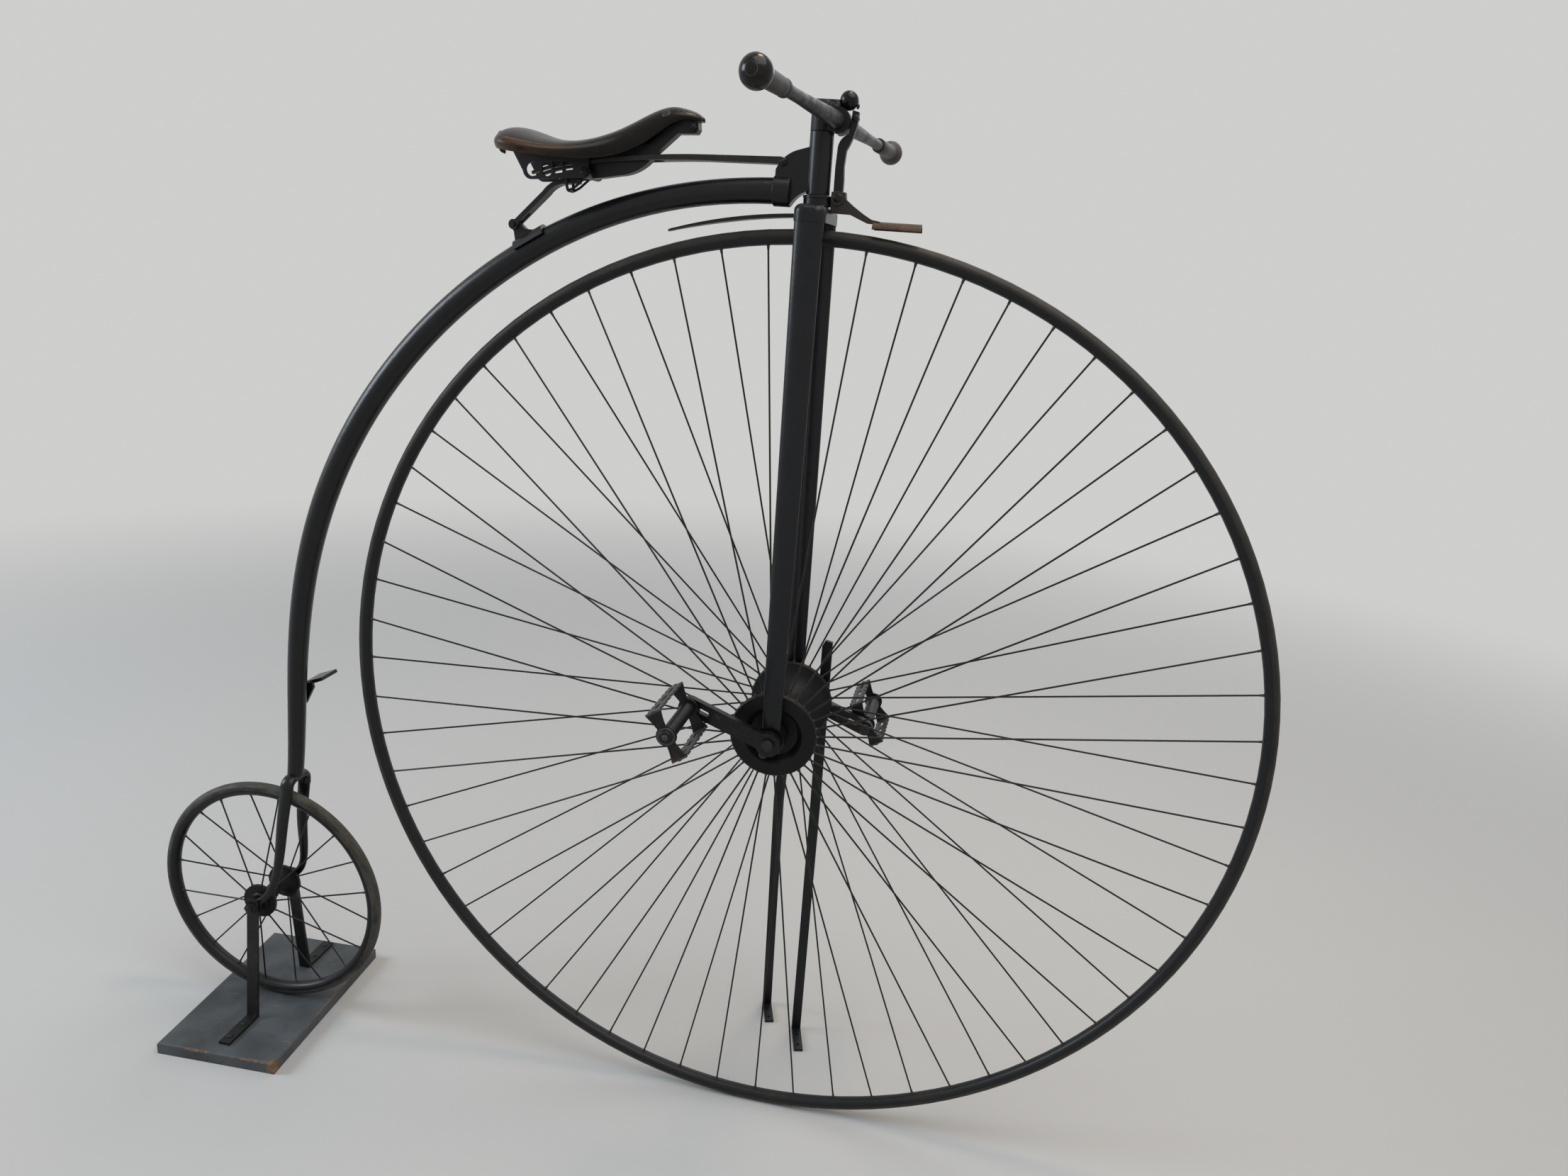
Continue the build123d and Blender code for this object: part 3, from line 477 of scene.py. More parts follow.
def enamelled(name, gloss, brown, coat=0.1, chip=1.0, tint=(1, 1, 1)):
    """Old black enamel: clouds of brown where the polish is thin, fine rubbed specks and faint dust."""
    f = Finish(name)
    at = f.here()
    cloud = f.noise(at, 7.0, 5.0, 0.6)
    patch = f.noise(at, 38.0, 6.0, 0.65, 0.4)
    speck = f.noise(at, 420.0, 3.0, 0.7)
    pits = f.noise(at, 1300.0, 2.0, 0.6)
    base = scaled(f.use.enamel, 1, tint)
    rubbed = f.between(cloud * 0.6 + patch * 0.4, 0.66 - 0.16 * brown, 0.80 - 0.10 * brown)
    worn = f.between(speck * 0.75 + patch * 0.25, 0.655 - 0.05 * f.use.wear * chip, 0.70)
    dust = f.between(pits * 0.5 + cloud * 0.5, 0.55, 0.72)
    return f.done(
        Base_Color=f.layered(
            base,
            (f.between(patch, 0.35, 0.7) * 0.5, scaled(base, 1.7)),
            (rubbed * 0.8, f.use.undercoat),
            (worn * 0.55, scaled(f.use.undercoat, 2.2)),
            (dust * 0.07, DUST),
        ),
        Roughness=gloss + 0.16 * patch + 0.22 * worn + 0.12 * dust,
        Specular_IOR_Level=0.27,
        Coat_Weight=coat * (1.0 - worn).lower(1.0 - 0.6 * rubbed),
        Coat_Roughness=0.22,
        Normal=f.relief(patch * 0.6 + speck * 0.25 + pits * 0.15, 0.00028, 0.55),
    )


def bare_steel(name, tone, rust, rough, tint=(1, 1, 1)):
    """Handled steel: dull grey with brown rust in clouds, dark stains and pits."""
    f = Finish(name)
    at = f.here()
    cloud = f.noise(at, 22.0, 6.0, 0.62, 0.3)
    grain = f.noise(at, 160.0, 5.0, 0.7)
    pits = f.cells(at, 700.0)
    base = scaled(f.use.steel, tone, tint)
    rusty = f.between(cloud * 0.55 + grain * 0.45, 0.64 - 0.2 * rust, 0.74 - 0.1 * rust)
    return f.done(
        Base_Color=f.layered(
            base,
            (f.between(grain, 0.3, 0.75) * 0.55, scaled(base, 0.45)),
            (rusty * 0.85, f.mixed(grain, scaled(f.use.rust, 0.4), scaled(f.use.rust, 1.25))),
        ),
        Metallic=0.92 - 0.75 * rusty,
        Roughness=rough + 0.18 * grain + 0.28 * rusty,
        Normal=f.relief(grain * 0.7 + f.between(pits, 0.0, 0.35) * 0.3, 0.00025, 0.6),
    )


def wheel_hub_finish(name, centre, flange):
    """Hub and spokes in one: dusty black enamel inside the flange, dark drawn wire with rust outside it."""
    f = Finish(name)
    at = f.here()
    radius, angle, out = f.wheel(centre)
    wire = f.between(radius, flange, flange + 0.0015)
    cloud = f.noise(at, 30.0, 5.0, 0.6, 0.2)
    fine = f.noise(at, 520.0, 4.0, 0.65)
    along = f.noise(f.vector(angle * 40.0, radius * 26.0, out * 40.0), 1.0, 4.0, 0.6)
    dust = f.between(fine * 0.5 + cloud * 0.5, 0.52, 0.70)
    enamel = f.layered(
        scaled(f.use.enamel, 0.8),
        (f.between(cloud, 0.4, 0.75) * 0.6, scaled(f.use.undercoat, 0.5)),
        (dust * 0.10, (0.15, 0.135, 0.12)),
    )
    rusty = f.between(along * 0.6 + fine * 0.4, 0.52, 0.68)
    steel = f.mixed(rusty * 0.8, scaled(f.use.steel, 0.15), scaled(f.use.rust, 0.4))
    return f.done(
        Base_Color=f.mixed(wire, enamel, steel),
        Metallic=wire * (0.85 - 0.6 * rusty),
        Roughness=(1.0 - wire) * (0.46 + 0.18 * dust) + wire * (0.34 + 0.25 * rusty),
        Specular_IOR_Level=0.22,
        Normal=f.relief(fine, 0.0002, 0.5),
    )


def rubber_finish(name, centre, tread, dusty):
    """Old solid rubber: grey-brown bloom, a warm band round the tread, partly worn and partly painted
    highlight, dust and fine cracks across.
    """
    f = Finish(name)
    at = f.here()
    radius, angle, out = f.wheel(centre)
    cloud = f.noise(at, 16.0, 6.0, 0.62, 0.3)
    fine = f.noise(at, 300.0, 4.0, 0.65)
    crack = f.noise(f.vector(angle * 190.0, radius * 55.0, out * 55.0), 1.0, 3.0, 0.7)
    smear = f.noise(f.vector(angle * 6.0, radius * 160.0, out * 160.0), 1.0, 4.0, 0.6)
    worn = f.between(radius, tread - 0.0072, tread - 0.0008)
    lines = f.between(crack, 0.62, 0.70)
    return f.done(
        Base_Color=f.layered(
            scaled(f.use.rubber, 0.62),
            (f.between(cloud, 0.32, 0.72), scaled(f.use.rubber, 1.35)),
            # Warm band round the tread: partly worn rubber, partly a painted highlight of warm light
            (worn * (0.3 + 0.4 * smear), (0.046, 0.036, 0.025)),
            (f.between(cloud * 0.4 + smear * 0.6, 0.38, 0.62) * dusty, (0.110, 0.104, 0.090)),
            (f.between(fine * 0.5 + smear * 0.5, 0.56, 0.72) * 0.2, DUST),
            (lines * 0.4, scaled(f.use.rubber, 0.4)),
        ),
        Roughness=0.42 + 0.2 * fine + 0.12 * worn - 0.1 * cloud,
        Specular_IOR_Level=0.3,
        Normal=f.relief(fine * 0.5 + cloud * 0.5 - lines * 0.6, 0.0004, 0.6),
    )


def bar_finish():
    """Handlebar: dark worn plating on the right, paler grey on the left, black where the clamp rubbed it."""
    f = Finish("handlebar_worn_plating")
    at = f.here(BAR)
    y = f.parts(at)[1]
    grain = f.noise(f.here(BAR, stretch=(1, 0.12, 1)), 300.0, 4.0, 0.65)
    cloud = f.noise(at, 45.0, 6.0, 0.65, 0.3)
    speck = f.cells(at, 420.0)
    left = f.between(y, -0.02, 0.06)
    dark = f.between(cloud * 0.7 + grain * 0.3, 0.42, 0.62)
    near = 1.0 - f.between(abs(y), 0.035, 0.085)
    return f.done(
        Base_Color=f.layered(
            scaled(f.use.steel, 0.05),
            (left, scaled(f.use.steel, 0.50)),
            (dark * (0.75 - 0.45 * left), (0.012, 0.011, 0.0105)),
            (near * 0.85, scaled(f.use.enamel, 1.2)),
            (f.between(grain, 0.60, 0.7) * 0.3, scaled(f.use.rust, 0.8)),
        ),
        Metallic=(0.10 + 0.50 * left) * (1.0 - 0.5 * dark),
        Roughness=0.40 + 0.2 * dark + 0.1 * left,
        Specular_IOR_Level=0.3,
        Normal=f.relief(grain * 0.6 + f.between(speck, 0.0, 0.3) * 0.4, 0.0002, 0.6),
    )


def handle_finish():
    """Horn handles: glossy black ball on a dusty grey neck on the right, scuffed brown-grey on the left."""
    f = Finish("handle_horn")
    at = f.here(BAR)
    y = f.parts(at)[1]
    cloud = f.noise(at, 60.0, 6.0, 0.6, 0.5)
    fine = f.noise(at, 500.0, 3.0, 0.6)
    left = f.between(y, -0.05, 0.05)
    band = f.between(y, 0.2380, 0.2400) * (1.0 - f.between(y, 0.2560, 0.2640))
    ball = f.between(abs(y), 0.302, 0.308)
    black = f.mixed(f.between(cloud, 0.5, 0.8), (0.0045, 0.0042, 0.0045), (0.020, 0.011, 0.007))
    neck = f.mixed(f.between(cloud, 0.35, 0.65), (0.018, 0.017, 0.017), (0.050, 0.048, 0.046))
    grey = f.mixed(f.between(cloud, 0.3, 0.75), (0.048, 0.044, 0.040), (0.095, 0.088, 0.080))
    scuff = f.between(fine * 0.6 + cloud * 0.4, 0.58, 0.7)
    return f.done(
        Base_Color=f.layered(
            neck,
            (ball, black),
            (left, f.mixed(band, grey, (0.022, 0.015, 0.012))),
            (scuff * (0.08 + 0.2 * left), (0.10, 0.085, 0.07)),
        ),
        Roughness=(0.55 - 0.37 * ball).higher(0.48 * left) + 0.1 * scuff,
        Specular_IOR_Level=0.28,
        Normal=f.relief(cloud * 0.7 + fine * 0.3, 0.0003, 0.4),
    )


def clamp_finish():
    """Bar clamp: enamelled body, speckled grey on the strap's top, partly rubbed steel and partly painted
    light, and a glossy black ball.
    """
    f = Finish("bar_clamp_enamel_and_steel")
    at = f.here(HEAD)
    x, _, z = f.parts(at)
    cloud = f.noise(at, 90.0, 5.0, 0.65)
    speck = f.noise(at, 900.0, 3.0, 0.75)
    above = f.between(z, 0.1015, 0.1030)
    ahead = f.between(x, 0.0135, 0.0165)
    strap = above * (1.0 - ahead)
    rubbed = f.between(speck * 0.6 + cloud * 0.4, 0.44, 0.56)
    return f.done(
        Base_Color=f.layered(
            f.use.enamel,
            (f.between(cloud, 0.45, 0.8), f.use.undercoat),
            # Speckled grey on the strap's top: partly rubbed steel, partly painted light on its lit face
            (strap * rubbed, (0.13, 0.135, 0.145)),
        ),
        Metallic=strap * rubbed * 0.7,
        Roughness=0.42 + 0.12 * cloud - 0.28 * (ahead * above),
        Specular_IOR_Level=0.25,
        Normal=f.relief(speck * 0.5 + cloud * 0.5, 0.0003, 0.5),
    )


def spoon_finish():
    """Brake spoon: black at its boss, rubbed to coppery brown steel along the blade."""
    f = Finish("brake_spoon_worn_brown")
    at = f.here(HEAD)
    cloud = f.noise(f.here(HEAD, stretch=(0.35, 1, 1)), 120.0, 6.0, 0.7)
    fine = f.noise(at, 700.0, 4.0, 0.7)
    blade = f.between(f.parts(at)[0], 0.052, 0.076)
    bronze = f.layered(
        (0.014, 0.008, 0.006),
        (f.between(cloud, 0.3, 0.7), (0.062, 0.032, 0.017)),
        (f.between(fine, 0.55, 0.7) * 0.6, (0.020, 0.012, 0.009)),
    )
    return f.done(
        Base_Color=f.mixed(blade, f.mixed(cloud, f.use.enamel, f.use.undercoat), bronze),
        Metallic=blade * 0.55,
        Roughness=0.40 + 0.18 * fine - 0.06 * blade,
        Normal=f.relief(cloud * 0.5 + fine * 0.5, 0.0004, 0.6),
    )


def plank_finish():
    """Painted plank: blue-grey paint over grain along Y, rubbed streaks, dirt, and wood at its worn corner."""
    f = Finish("plank_worn_paint")
    at = f.here(PLANK, PLANK_SKEW)
    x, y, z = f.parts(at)
    grain = f.noise(f.here(PLANK, PLANK_SKEW, (1, 0.06, 1)), 260.0, 6.0, 0.65, 0.4)
    cloud = f.noise(at, 14.0, 6.0, 0.6, 0.3)
    scuff = f.noise(f.here(PLANK, PLANK_SKEW, (0.25, 1, 1)), 90.0, 6.0, 0.7)
    fine = f.noise(at, 600.0, 3.0, 0.6)
    paint = f.layered(
        scaled(f.use.plank, 0.62),
        (f.between(cloud, 0.3, 0.72), scaled(f.use.plank, 1.35)),
        (f.between(scuff, 0.60, 0.72) * 0.45, (0.20, 0.21, 0.215)),
        (f.between(cloud * 0.5 + fine * 0.5, 0.52, 0.66) * 0.35, (0.055, 0.042, 0.030)),
    )
    half_x, half_y = PLANK_HALF
    half_z = PLANK_TOP - PLANK.z
    rims = [f.between(abs(part), half - 0.0035, half - 0.0005) for part, half in ((x, half_x), (y, half_y))]
    edge = rims[0].higher(rims[1]) * f.between(z, half_z - 0.0035, half_z - 0.0015)
    corner = ((x - half_x) * (x - half_x) + (y + half_y) * (y + half_y)) ** 0.5
    chip = 1.0 - f.between(corner + 0.016 * scuff + 0.006 * fine, 0.019, 0.026)
    rubbed = chip.higher(edge * f.between(scuff * 0.6 + fine * 0.4, 0.47, 0.55))
    wood = f.mixed(f.between(grain, 0.35, 0.65), scaled(f.use.wood, 0.35), f.use.wood)
    # Painted shade: the bottom 2 mm of the plank is darkened where it meets the floor
    painted_foot_shade = 1.0 - f.between(z, -half_z, -half_z + 0.002)
    return f.done(
        Base_Color=f.layered(paint, (rubbed, wood), (painted_foot_shade * 0.7, (0.035, 0.028, 0.022))),
        Roughness=0.50 + 0.2 * fine + 0.15 * rubbed,
        Normal=f.relief(grain * 0.5 + fine * 0.2 - rubbed * 0.6 + scuff * 0.2, 0.0006, 0.6),
    )


def leather_finish():
    """Saddle leather: near-black polish over brown, tan rubbed skirts and a painted golden glint along the
    shoulder.
    """
    f = Finish("saddle_polished_leather")
    at = f.here(HEAD)
    u, v, _ = f.parts(f.make("ShaderNodeUVMap", {"uv_map": "across_and_along"}, {}))
    cloud = f.noise(at, 26.0, 6.0, 0.62, 0.6)
    patch = f.noise(f.here(HEAD, stretch=(0.5, 1, 1)), 70.0, 6.0, 0.65, 0.5)
    grain = f.cells(at, 950.0)
    fine = f.noise(at, 800.0, 3.0, 0.6)
    outward = abs(v - 0.5)
    rear = f.between(u, 0.10, 0.16) * (1.0 - f.between(u, 0.34, 0.56))
    skirt = f.between(outward, 0.285, 0.31)
    rubbed = skirt * rear * f.between(patch * 0.6 + cloud * 0.4, 0.36, 0.52)
    hem = f.between(outward, 0.489, 0.497).higher(f.between(abs(u - 0.5), 0.492, 0.498))
    # Thin line along each shoulder, where a golden highlight of warm light is painted into the colour
    edge = f.between(outward, 0.262, 0.280) * (1.0 - f.between(outward, 0.283, 0.297))
    painted_glint = edge * rear * f.between(fine * 0.35 + patch * 0.65, 0.44, 0.56)
    crease = f.between(f.noise(f.here(HEAD, stretch=(1, 0.3, 1)), 130.0, 5.0, 0.7), 0.60, 0.68)
    height = f.between(grain, 0.0, 0.6) * 0.12 + cloud * 0.6 + patch * 0.3 + fine * 0.06 - crease * 0.3
    return f.done(
        Base_Color=f.layered(
            f.use.leather,
            (f.between(cloud, 0.4, 0.75), scaled(f.use.tan, 0.15)),
            (rubbed * 0.9, f.use.tan),
            (f.between(patch, 0.62, 0.75) * 0.2, scaled(f.use.tan, 0.3)),
            (hem * 0.6, scaled(f.use.tan, 0.8)),
            (painted_glint * 0.8, (0.17, 0.088, 0.040)),
            (crease * 0.5, scaled(f.use.leather, 0.4)),
        ),
        Roughness=0.20 + 0.16 * patch + 0.10 * rubbed + 0.1 * crease,
        Specular_IOR_Level=0.2,
        Coat_Weight=0.06 - 0.03 * rubbed,
        Coat_Roughness=0.1,
        Normal=f.relief(height, 0.0009, 0.5),
    )


# The floor: its radius, how far it lies below the wheels, and where it starts and ends to fade
FLOOR_RADIUS = 6
FLOOR_SIDES = 96
FLOOR_DROP = 0.5 * MM
FLOOR_FADE = (1.9, 4.6)


def floor_finish():
    """Plain pale floor that fades out before the horizon."""
    stage = bpy.context.scene.bicycle_stage
    f = Finish("pale_floor")
    x, y, _ = f.parts(f.here())
    far = f.between((x * x + y * y) ** 0.5, *FLOOR_FADE)
    clear = f.tree.nodes.new("ShaderNodeBsdfTransparent")
    mix = f.tree.nodes.new("ShaderNodeMixShader")
    for k, source in enumerate((far.socket, f.shader.outputs["BSDF"], clear.outputs[0])):
        f.tree.links.new(source, mix.inputs[k])
    f.tree.links.new(mix.outputs[0], f.output.inputs["Surface"])
    return f.done(Base_Color=tuple(stage.floor), Roughness=0.85, Specular_IOR_Level=0.2)


# Pieces

# Station along the saddle, half width, and heights of crown, shoulder and hem, in millimetres by the head
SEAT_ROWS = (
    (-397.0, 50, 38, 31, 28.5),
    (-403.5, 55, 44.5, 35, 30),
    (-405.5, 60, 52.0, 39, 30.5),
    (-398, 79, 60.0, 40, 29.5),
    (-382, 92, 61.5, 37, 26),
    (-356, 93, 52.5, 33, 23.5),
    (-322, 76, 45.5, 32, 23),
    (-288, 51, 52.5, 39, 24),
    (-252, 32.5, 68.5, 50, 33),
    (-218, 26.5, 88.5, 68, 52),
    (-193, 25, 96.5, 82, 72),
    (-174, 21, 92.0, 84, 81),
    (-161, 14, 89.5, 83, 79),
    (-155, 7, 84, 81, 78.5),
)
# Each section point's share of the half width, of the fall from crown to shoulder and of that to the hem
SEAT_SECTION = (
    (0.0, 0.0, 0.0), (0.40, 0.06, 0.0), (0.80, 0.40, 0.0), (1.03, 0.90, 0.05),
    (1.03, 1.0, 0.5), (0.97, 1.0, 0.85), (0.945, 1.0, 1.0),
)
# Rivets of the nose and the cantle: share of the leather's rows, then of its columns
SEAT_RIVETS = ((0.80, (0.245, 0.74)), (0.13, (0.27, 0.38, 0.5, 0.62, 0.73)))
RIVET_SINK = 0.0004


def seat_net():
    """Control net of the leather: each station's section from the right hem over the crown to the left."""
    section = np.asarray(SEAT_SECTION, float)
    section = np.concatenate((section[:0:-1] * (-1, 1, 1), section))
    x, half, crown, shoulder, hem = np.asarray(SEAT_ROWS, float).T[:, :, None]
    y = half * section[:, 0]
    z = crown - (crown - shoulder) * section[:, 1] - (shoulder - hem) * section[:, 2]
    return np.stack((np.broadcast_to(x, y.shape), y, z), -1) * MM + np.asarray(HEAD)


def spoke_ends(centre, count, phase, radius, half_width):
    """Spoke k's end in millimetres, at phase + 360 k / count degrees round the axle, on the left for even k."""
    turn = circle(count, math.radians(phase))
    outward = np.stack((-np.sin(turn), np.zeros(count), np.cos(turn)), -1)
    across = np.zeros((count, 3))
    across[:, 1] = np.where(np.arange(count) % 2 == 0, 1.0, -1.0) * (half_width * MM)
    return np.asarray(centre) + outward * (radius * MM) + across


class BuildPiece:
    """What the piece operators share."""

    bl_options = {"REGISTER", "UNDO"}


class BICYCLE_OT_saddle(BuildPiece, bpy.types.Operator):
    """Leather seat over the iron cradle, with its nose and cantle rivets."""

    bl_idname = "bicycle.saddle"
    bl_label = "Saddle leather"

    def execute(self, context):
        use = context.scene.bicycle_saddle
        surface = spline_surface(seat_net(), use.along, use.across)
        *leather, uv = shell(surface, use.thickness)
        finish = leather_finish()
        seat = make_piece("saddle_seat", [leather], finish, "frame", uv=uv, smooth=1.0)
        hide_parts("saddle_leather")
        rows, columns = surface.shape[:2]
        spots = [(round(rows * row), round(columns * share)) for row, line in SEAT_RIVETS for share in line]
        spots = tuple(np.transpose(spots))
        normals = surface_normals(surface)[spots]
        places = surface[spots] - normals * RIVET_SINK
        rivets = turned(dome(use.rivet_radius, 0.0011), places, normals, sides=24)
        finish = bare_steel("rivet_copper", tone=0.3, rust=0.3, rough=0.3, tint=(1.15, 1.0, 0.85))
        make_piece("saddle_rivets", [rivets], finish, "frame")
        return {"FINISHED"}


# Wire under the seat, in millimetres by the head: the stirrup, and a stay that each side has at its own y
STIRRUP = (
    (-331, -11, 5), (-331, -11, -3), (-329.5, -11, -10), (-329, -9, -12),
    (-329, 9, -12), (-329.5, 11, -10), (-331, 11, -3), (-331, 11, 5),
)
STAY = ((-329, -11.5), (-322, -9), (-311, 1), (-305, 6))


class BICYCLE_OT_saddle_fittings(BuildPiece, bpy.types.Operator):
    """Stirrup and stays under the seat, and the nuts of the saddle's nose and barrel."""

    bl_idname = "bicycle.saddle_fittings"
    bl_label = "Saddle fittings"

    def execute(self, context):
        radius = context.scene.bicycle_fittings.nut_radius
        finish = enamelled("saddle_iron_fittings", gloss=0.4, brown=0.7)
        wires = [drawn(STIRRUP, 48, 0.0019, 12, start_up=(1, 0, 0))]
        for y in (-8.5, 8.5):
            wires.append(drawn([(x, y, z) for x, z in STAY], 20, 0.0016, 10, start_up=(0, 1, 0)))
        make_piece("seat_stirrup", wires, finish, "frame")
        nose_bolt = pair_by_head(-166.5, 8, 72)
        barrel_ends = pair_by_head(-302, 24.5, 10.5)
        places = nose_bolt + barrel_ends
        nuts = turned(nut(radius, 0.004), places, OUTWARD * 2, sides=6, twist=0.35)
        ends = turned(dome(radius * 0.55, 0.0022, 0.0036), places, OUTWARD * 2)
        make_piece("saddle_nuts", [nuts, ends], finish, "frame", smooth=0.5)
        return {"FINISHED"}


class BICYCLE_OT_spoke_nipples(BuildPiece, bpy.types.Operator):
    """Nipples where the spokes meet the rims and shoulders where they enter the flanges."""

    bl_idname = "bicycle.spoke_nipples"
    bl_label = "Spoke nipples"

    def execute(self, context):
        use = context.scene.bicycle_fittings
        radius, length = use.nipple_radius, use.nipple_length
        nipple = (
            (radius * 1.25, -0.001), (radius * 1.25, 0.0006), (radius, 0.0012),
            (radius * 0.95, length * 0.8), (radius * 0.72, length),
        )
        shoulder = ((radius, -0.002), (radius, 0.0018), (radius * 0.75, 0.0026))
        finish = bare_steel("nipple_steel", tone=0.34, rust=0.55, rough=0.36)
        # Body, centre, spokes, phase, then radius and half width at the flange and at the rim
        wheels = (
            ("front", FRONT_HUB, SPOKES_FRONT, 0.0, (60.5, 66.0), (641.05, 2.2)),
            ("rear", REAR_HUB, SPOKES_REAR, REAR_PHASE, (28.5, 31.0), (175.15, 2.4)),
        )
        for name, centre, count, phase, flange, rim in wheels:
            inner = spoke_ends(centre, count, phase, *flange)
            outer = spoke_ends(centre, count, phase, *rim)
            run = outer - inner
            parts = [turned(nipple, outer, -run, sides=8), turned(shoulder, inner, run, sides=8)]
            piece = f"{name}_spoke_nipples"
            make_piece(piece, parts, finish, f"{name}_wheel", smooth=0.7)
        return {"FINISHED"}


class BICYCLE_OT_bracket_screws(BuildPiece, bpy.types.Operator):
    """Round-headed wood screws that hold the rear brackets to the plank."""

    bl_idname = "bicycle.bracket_screws"
    bl_label = "Bracket screws"

    def execute(self, context):
        radius = context.scene.bicycle_fittings.screw_radius
        foot_thickness, sink = 4.5 * MM, 0.0002
        height = PLANK_TOP + foot_thickness - sink
        # Forward of the rear axle and to the left of the middle plane, in millimetres
        spots = ((0.5, -94), (-1.0, -125), (0.5, 98), (-0.5, 130))
        places = [(REAR_HUB.x + x * MM, y * MM, height) for x, y in spots]
        screws = turned(dome(radius, 0.0024), places, [(0, 0, 1)] * len(spots), sides=24)
        finish = bare_steel("screw_dark_steel", tone=0.2, rust=0.6, rough=0.4)
        make_piece("bracket_screws", [screws], finish, "frame")
        return {"FINISHED"}


class BICYCLE_OT_head_fittings(BuildPiece, bpy.types.Operator):
    """Screws of the head: brake pivot, lever pin, the ball's nub, the collar's rim and the neck bolt."""

    bl_idname = "bicycle.head_fittings"
    bl_label = "Head fittings"

    def execute(self, context):
        radius = context.scene.bicycle_fittings.nut_radius
        finish = enamelled("head_screw_enamel", gloss=0.3, brown=0.6)
        brake_pivot = pair_by_head(22, 9, -1)
        lever_pin = pair_by_head(35.5, 4.5, 91)
        ball_front = by_head(36.0, 0, 105)
        collar = by_head(-4.5, 0, 0)
        collar_rim = ((0.0176, -0.0031), (0.0183, -0.0026), (0.0183, -0.0004), (0.0176, 0.0002))
        parts = [
            turned(dome(radius * 0.95, 0.0022), brake_pivot, OUTWARD, sides=20),
            turned(dome(radius * 0.72, 0.0024), lever_pin, OUTWARD, sides=18),
            turned(dome(0.0034, 0.0030), ball_front, (1, 0, -0.1), sides=18),
            turned(collar_rim, collar, (0, 0, 1), sides=56),
        ]
        make_piece("head_screws", parts, finish, "fork")
        neck = pair_by_head(-49.5, 9, 37)
        bolts = turned(nut(radius * 0.95, 0.0034), neck, OUTWARD, sides=6)
        ends = turned(dome(radius * 0.5, 0.0018, 0.0032), neck, OUTWARD)
        make_piece("neck_bolt", [bolts, ends], finish, "frame", smooth=0.5)
        return {"FINISHED"}


class BICYCLE_OT_handle_rings(BuildPiece, bpy.types.Operator):
    """Steel ferrule rings where the handles meet the bar, and the plug ring in each ball."""

    bl_idname = "bicycle.handle_rings"
    bl_label = "Handle rings"

    def execute(self, context):
        across = np.array((math.sin(BAR_TURN), math.cos(BAR_TURN), 0.0))
        centre = np.asarray(BAR)
        ferrule = (
            (0.0070, 0.0), (0.0094, 0.0002), (0.0099, 0.0010),
            (0.0099, 0.0030), (0.0095, 0.0040), (0.0070, 0.0042),
        )
        plug_radius, plug_wire, plug_sink = 0.0062, 0.0006, 0.0004
        plug_at = BALL_AT + math.sqrt(BALL_RADIUS**2 - plug_radius**2) - plug_sink
        rings, plugs = [], []
        for side in SIDES:
            direction = across * side
            rings.append(turned(ferrule, centre + direction * FERRULE_AT, direction, sides=32))
            plugs.append(hoop(centre + direction * plug_at, direction, plug_radius, plug_wire))
        steel = bare_steel("ferrule_steel", tone=0.32, rust=0.35, rough=0.34)
        make_piece("handle_ferrules", rings, steel, "fork")
        make_piece("handle_plug_rings", plugs, steel, "fork")
        return {"FINISHED"}


# Out from the middle plane to each fitting of the cranks and pedals, in millimetres
KEY_OUT = 98.2
AXLE_CAP_OUT = 106
PIN_NUT_OUT = 93.6
TREAD_RIVETS_OUT = (110.6, 206.4)
WASHER_OUT = 208
PIN_CAP_OUT = 213
# From the axle to the key's head, and from a pedal's pin to its tread plates
KEY_LIFT = 16.6 * MM
TREAD_REACH = 35.4 * MM


def crank_arm(side):
    """Unit vector along a side's crank."""
    turn = CRANK_ANGLE if side < 0 else CRANK_ANGLE + math.pi
    return Vector((math.cos(turn), 0, math.sin(turn)))


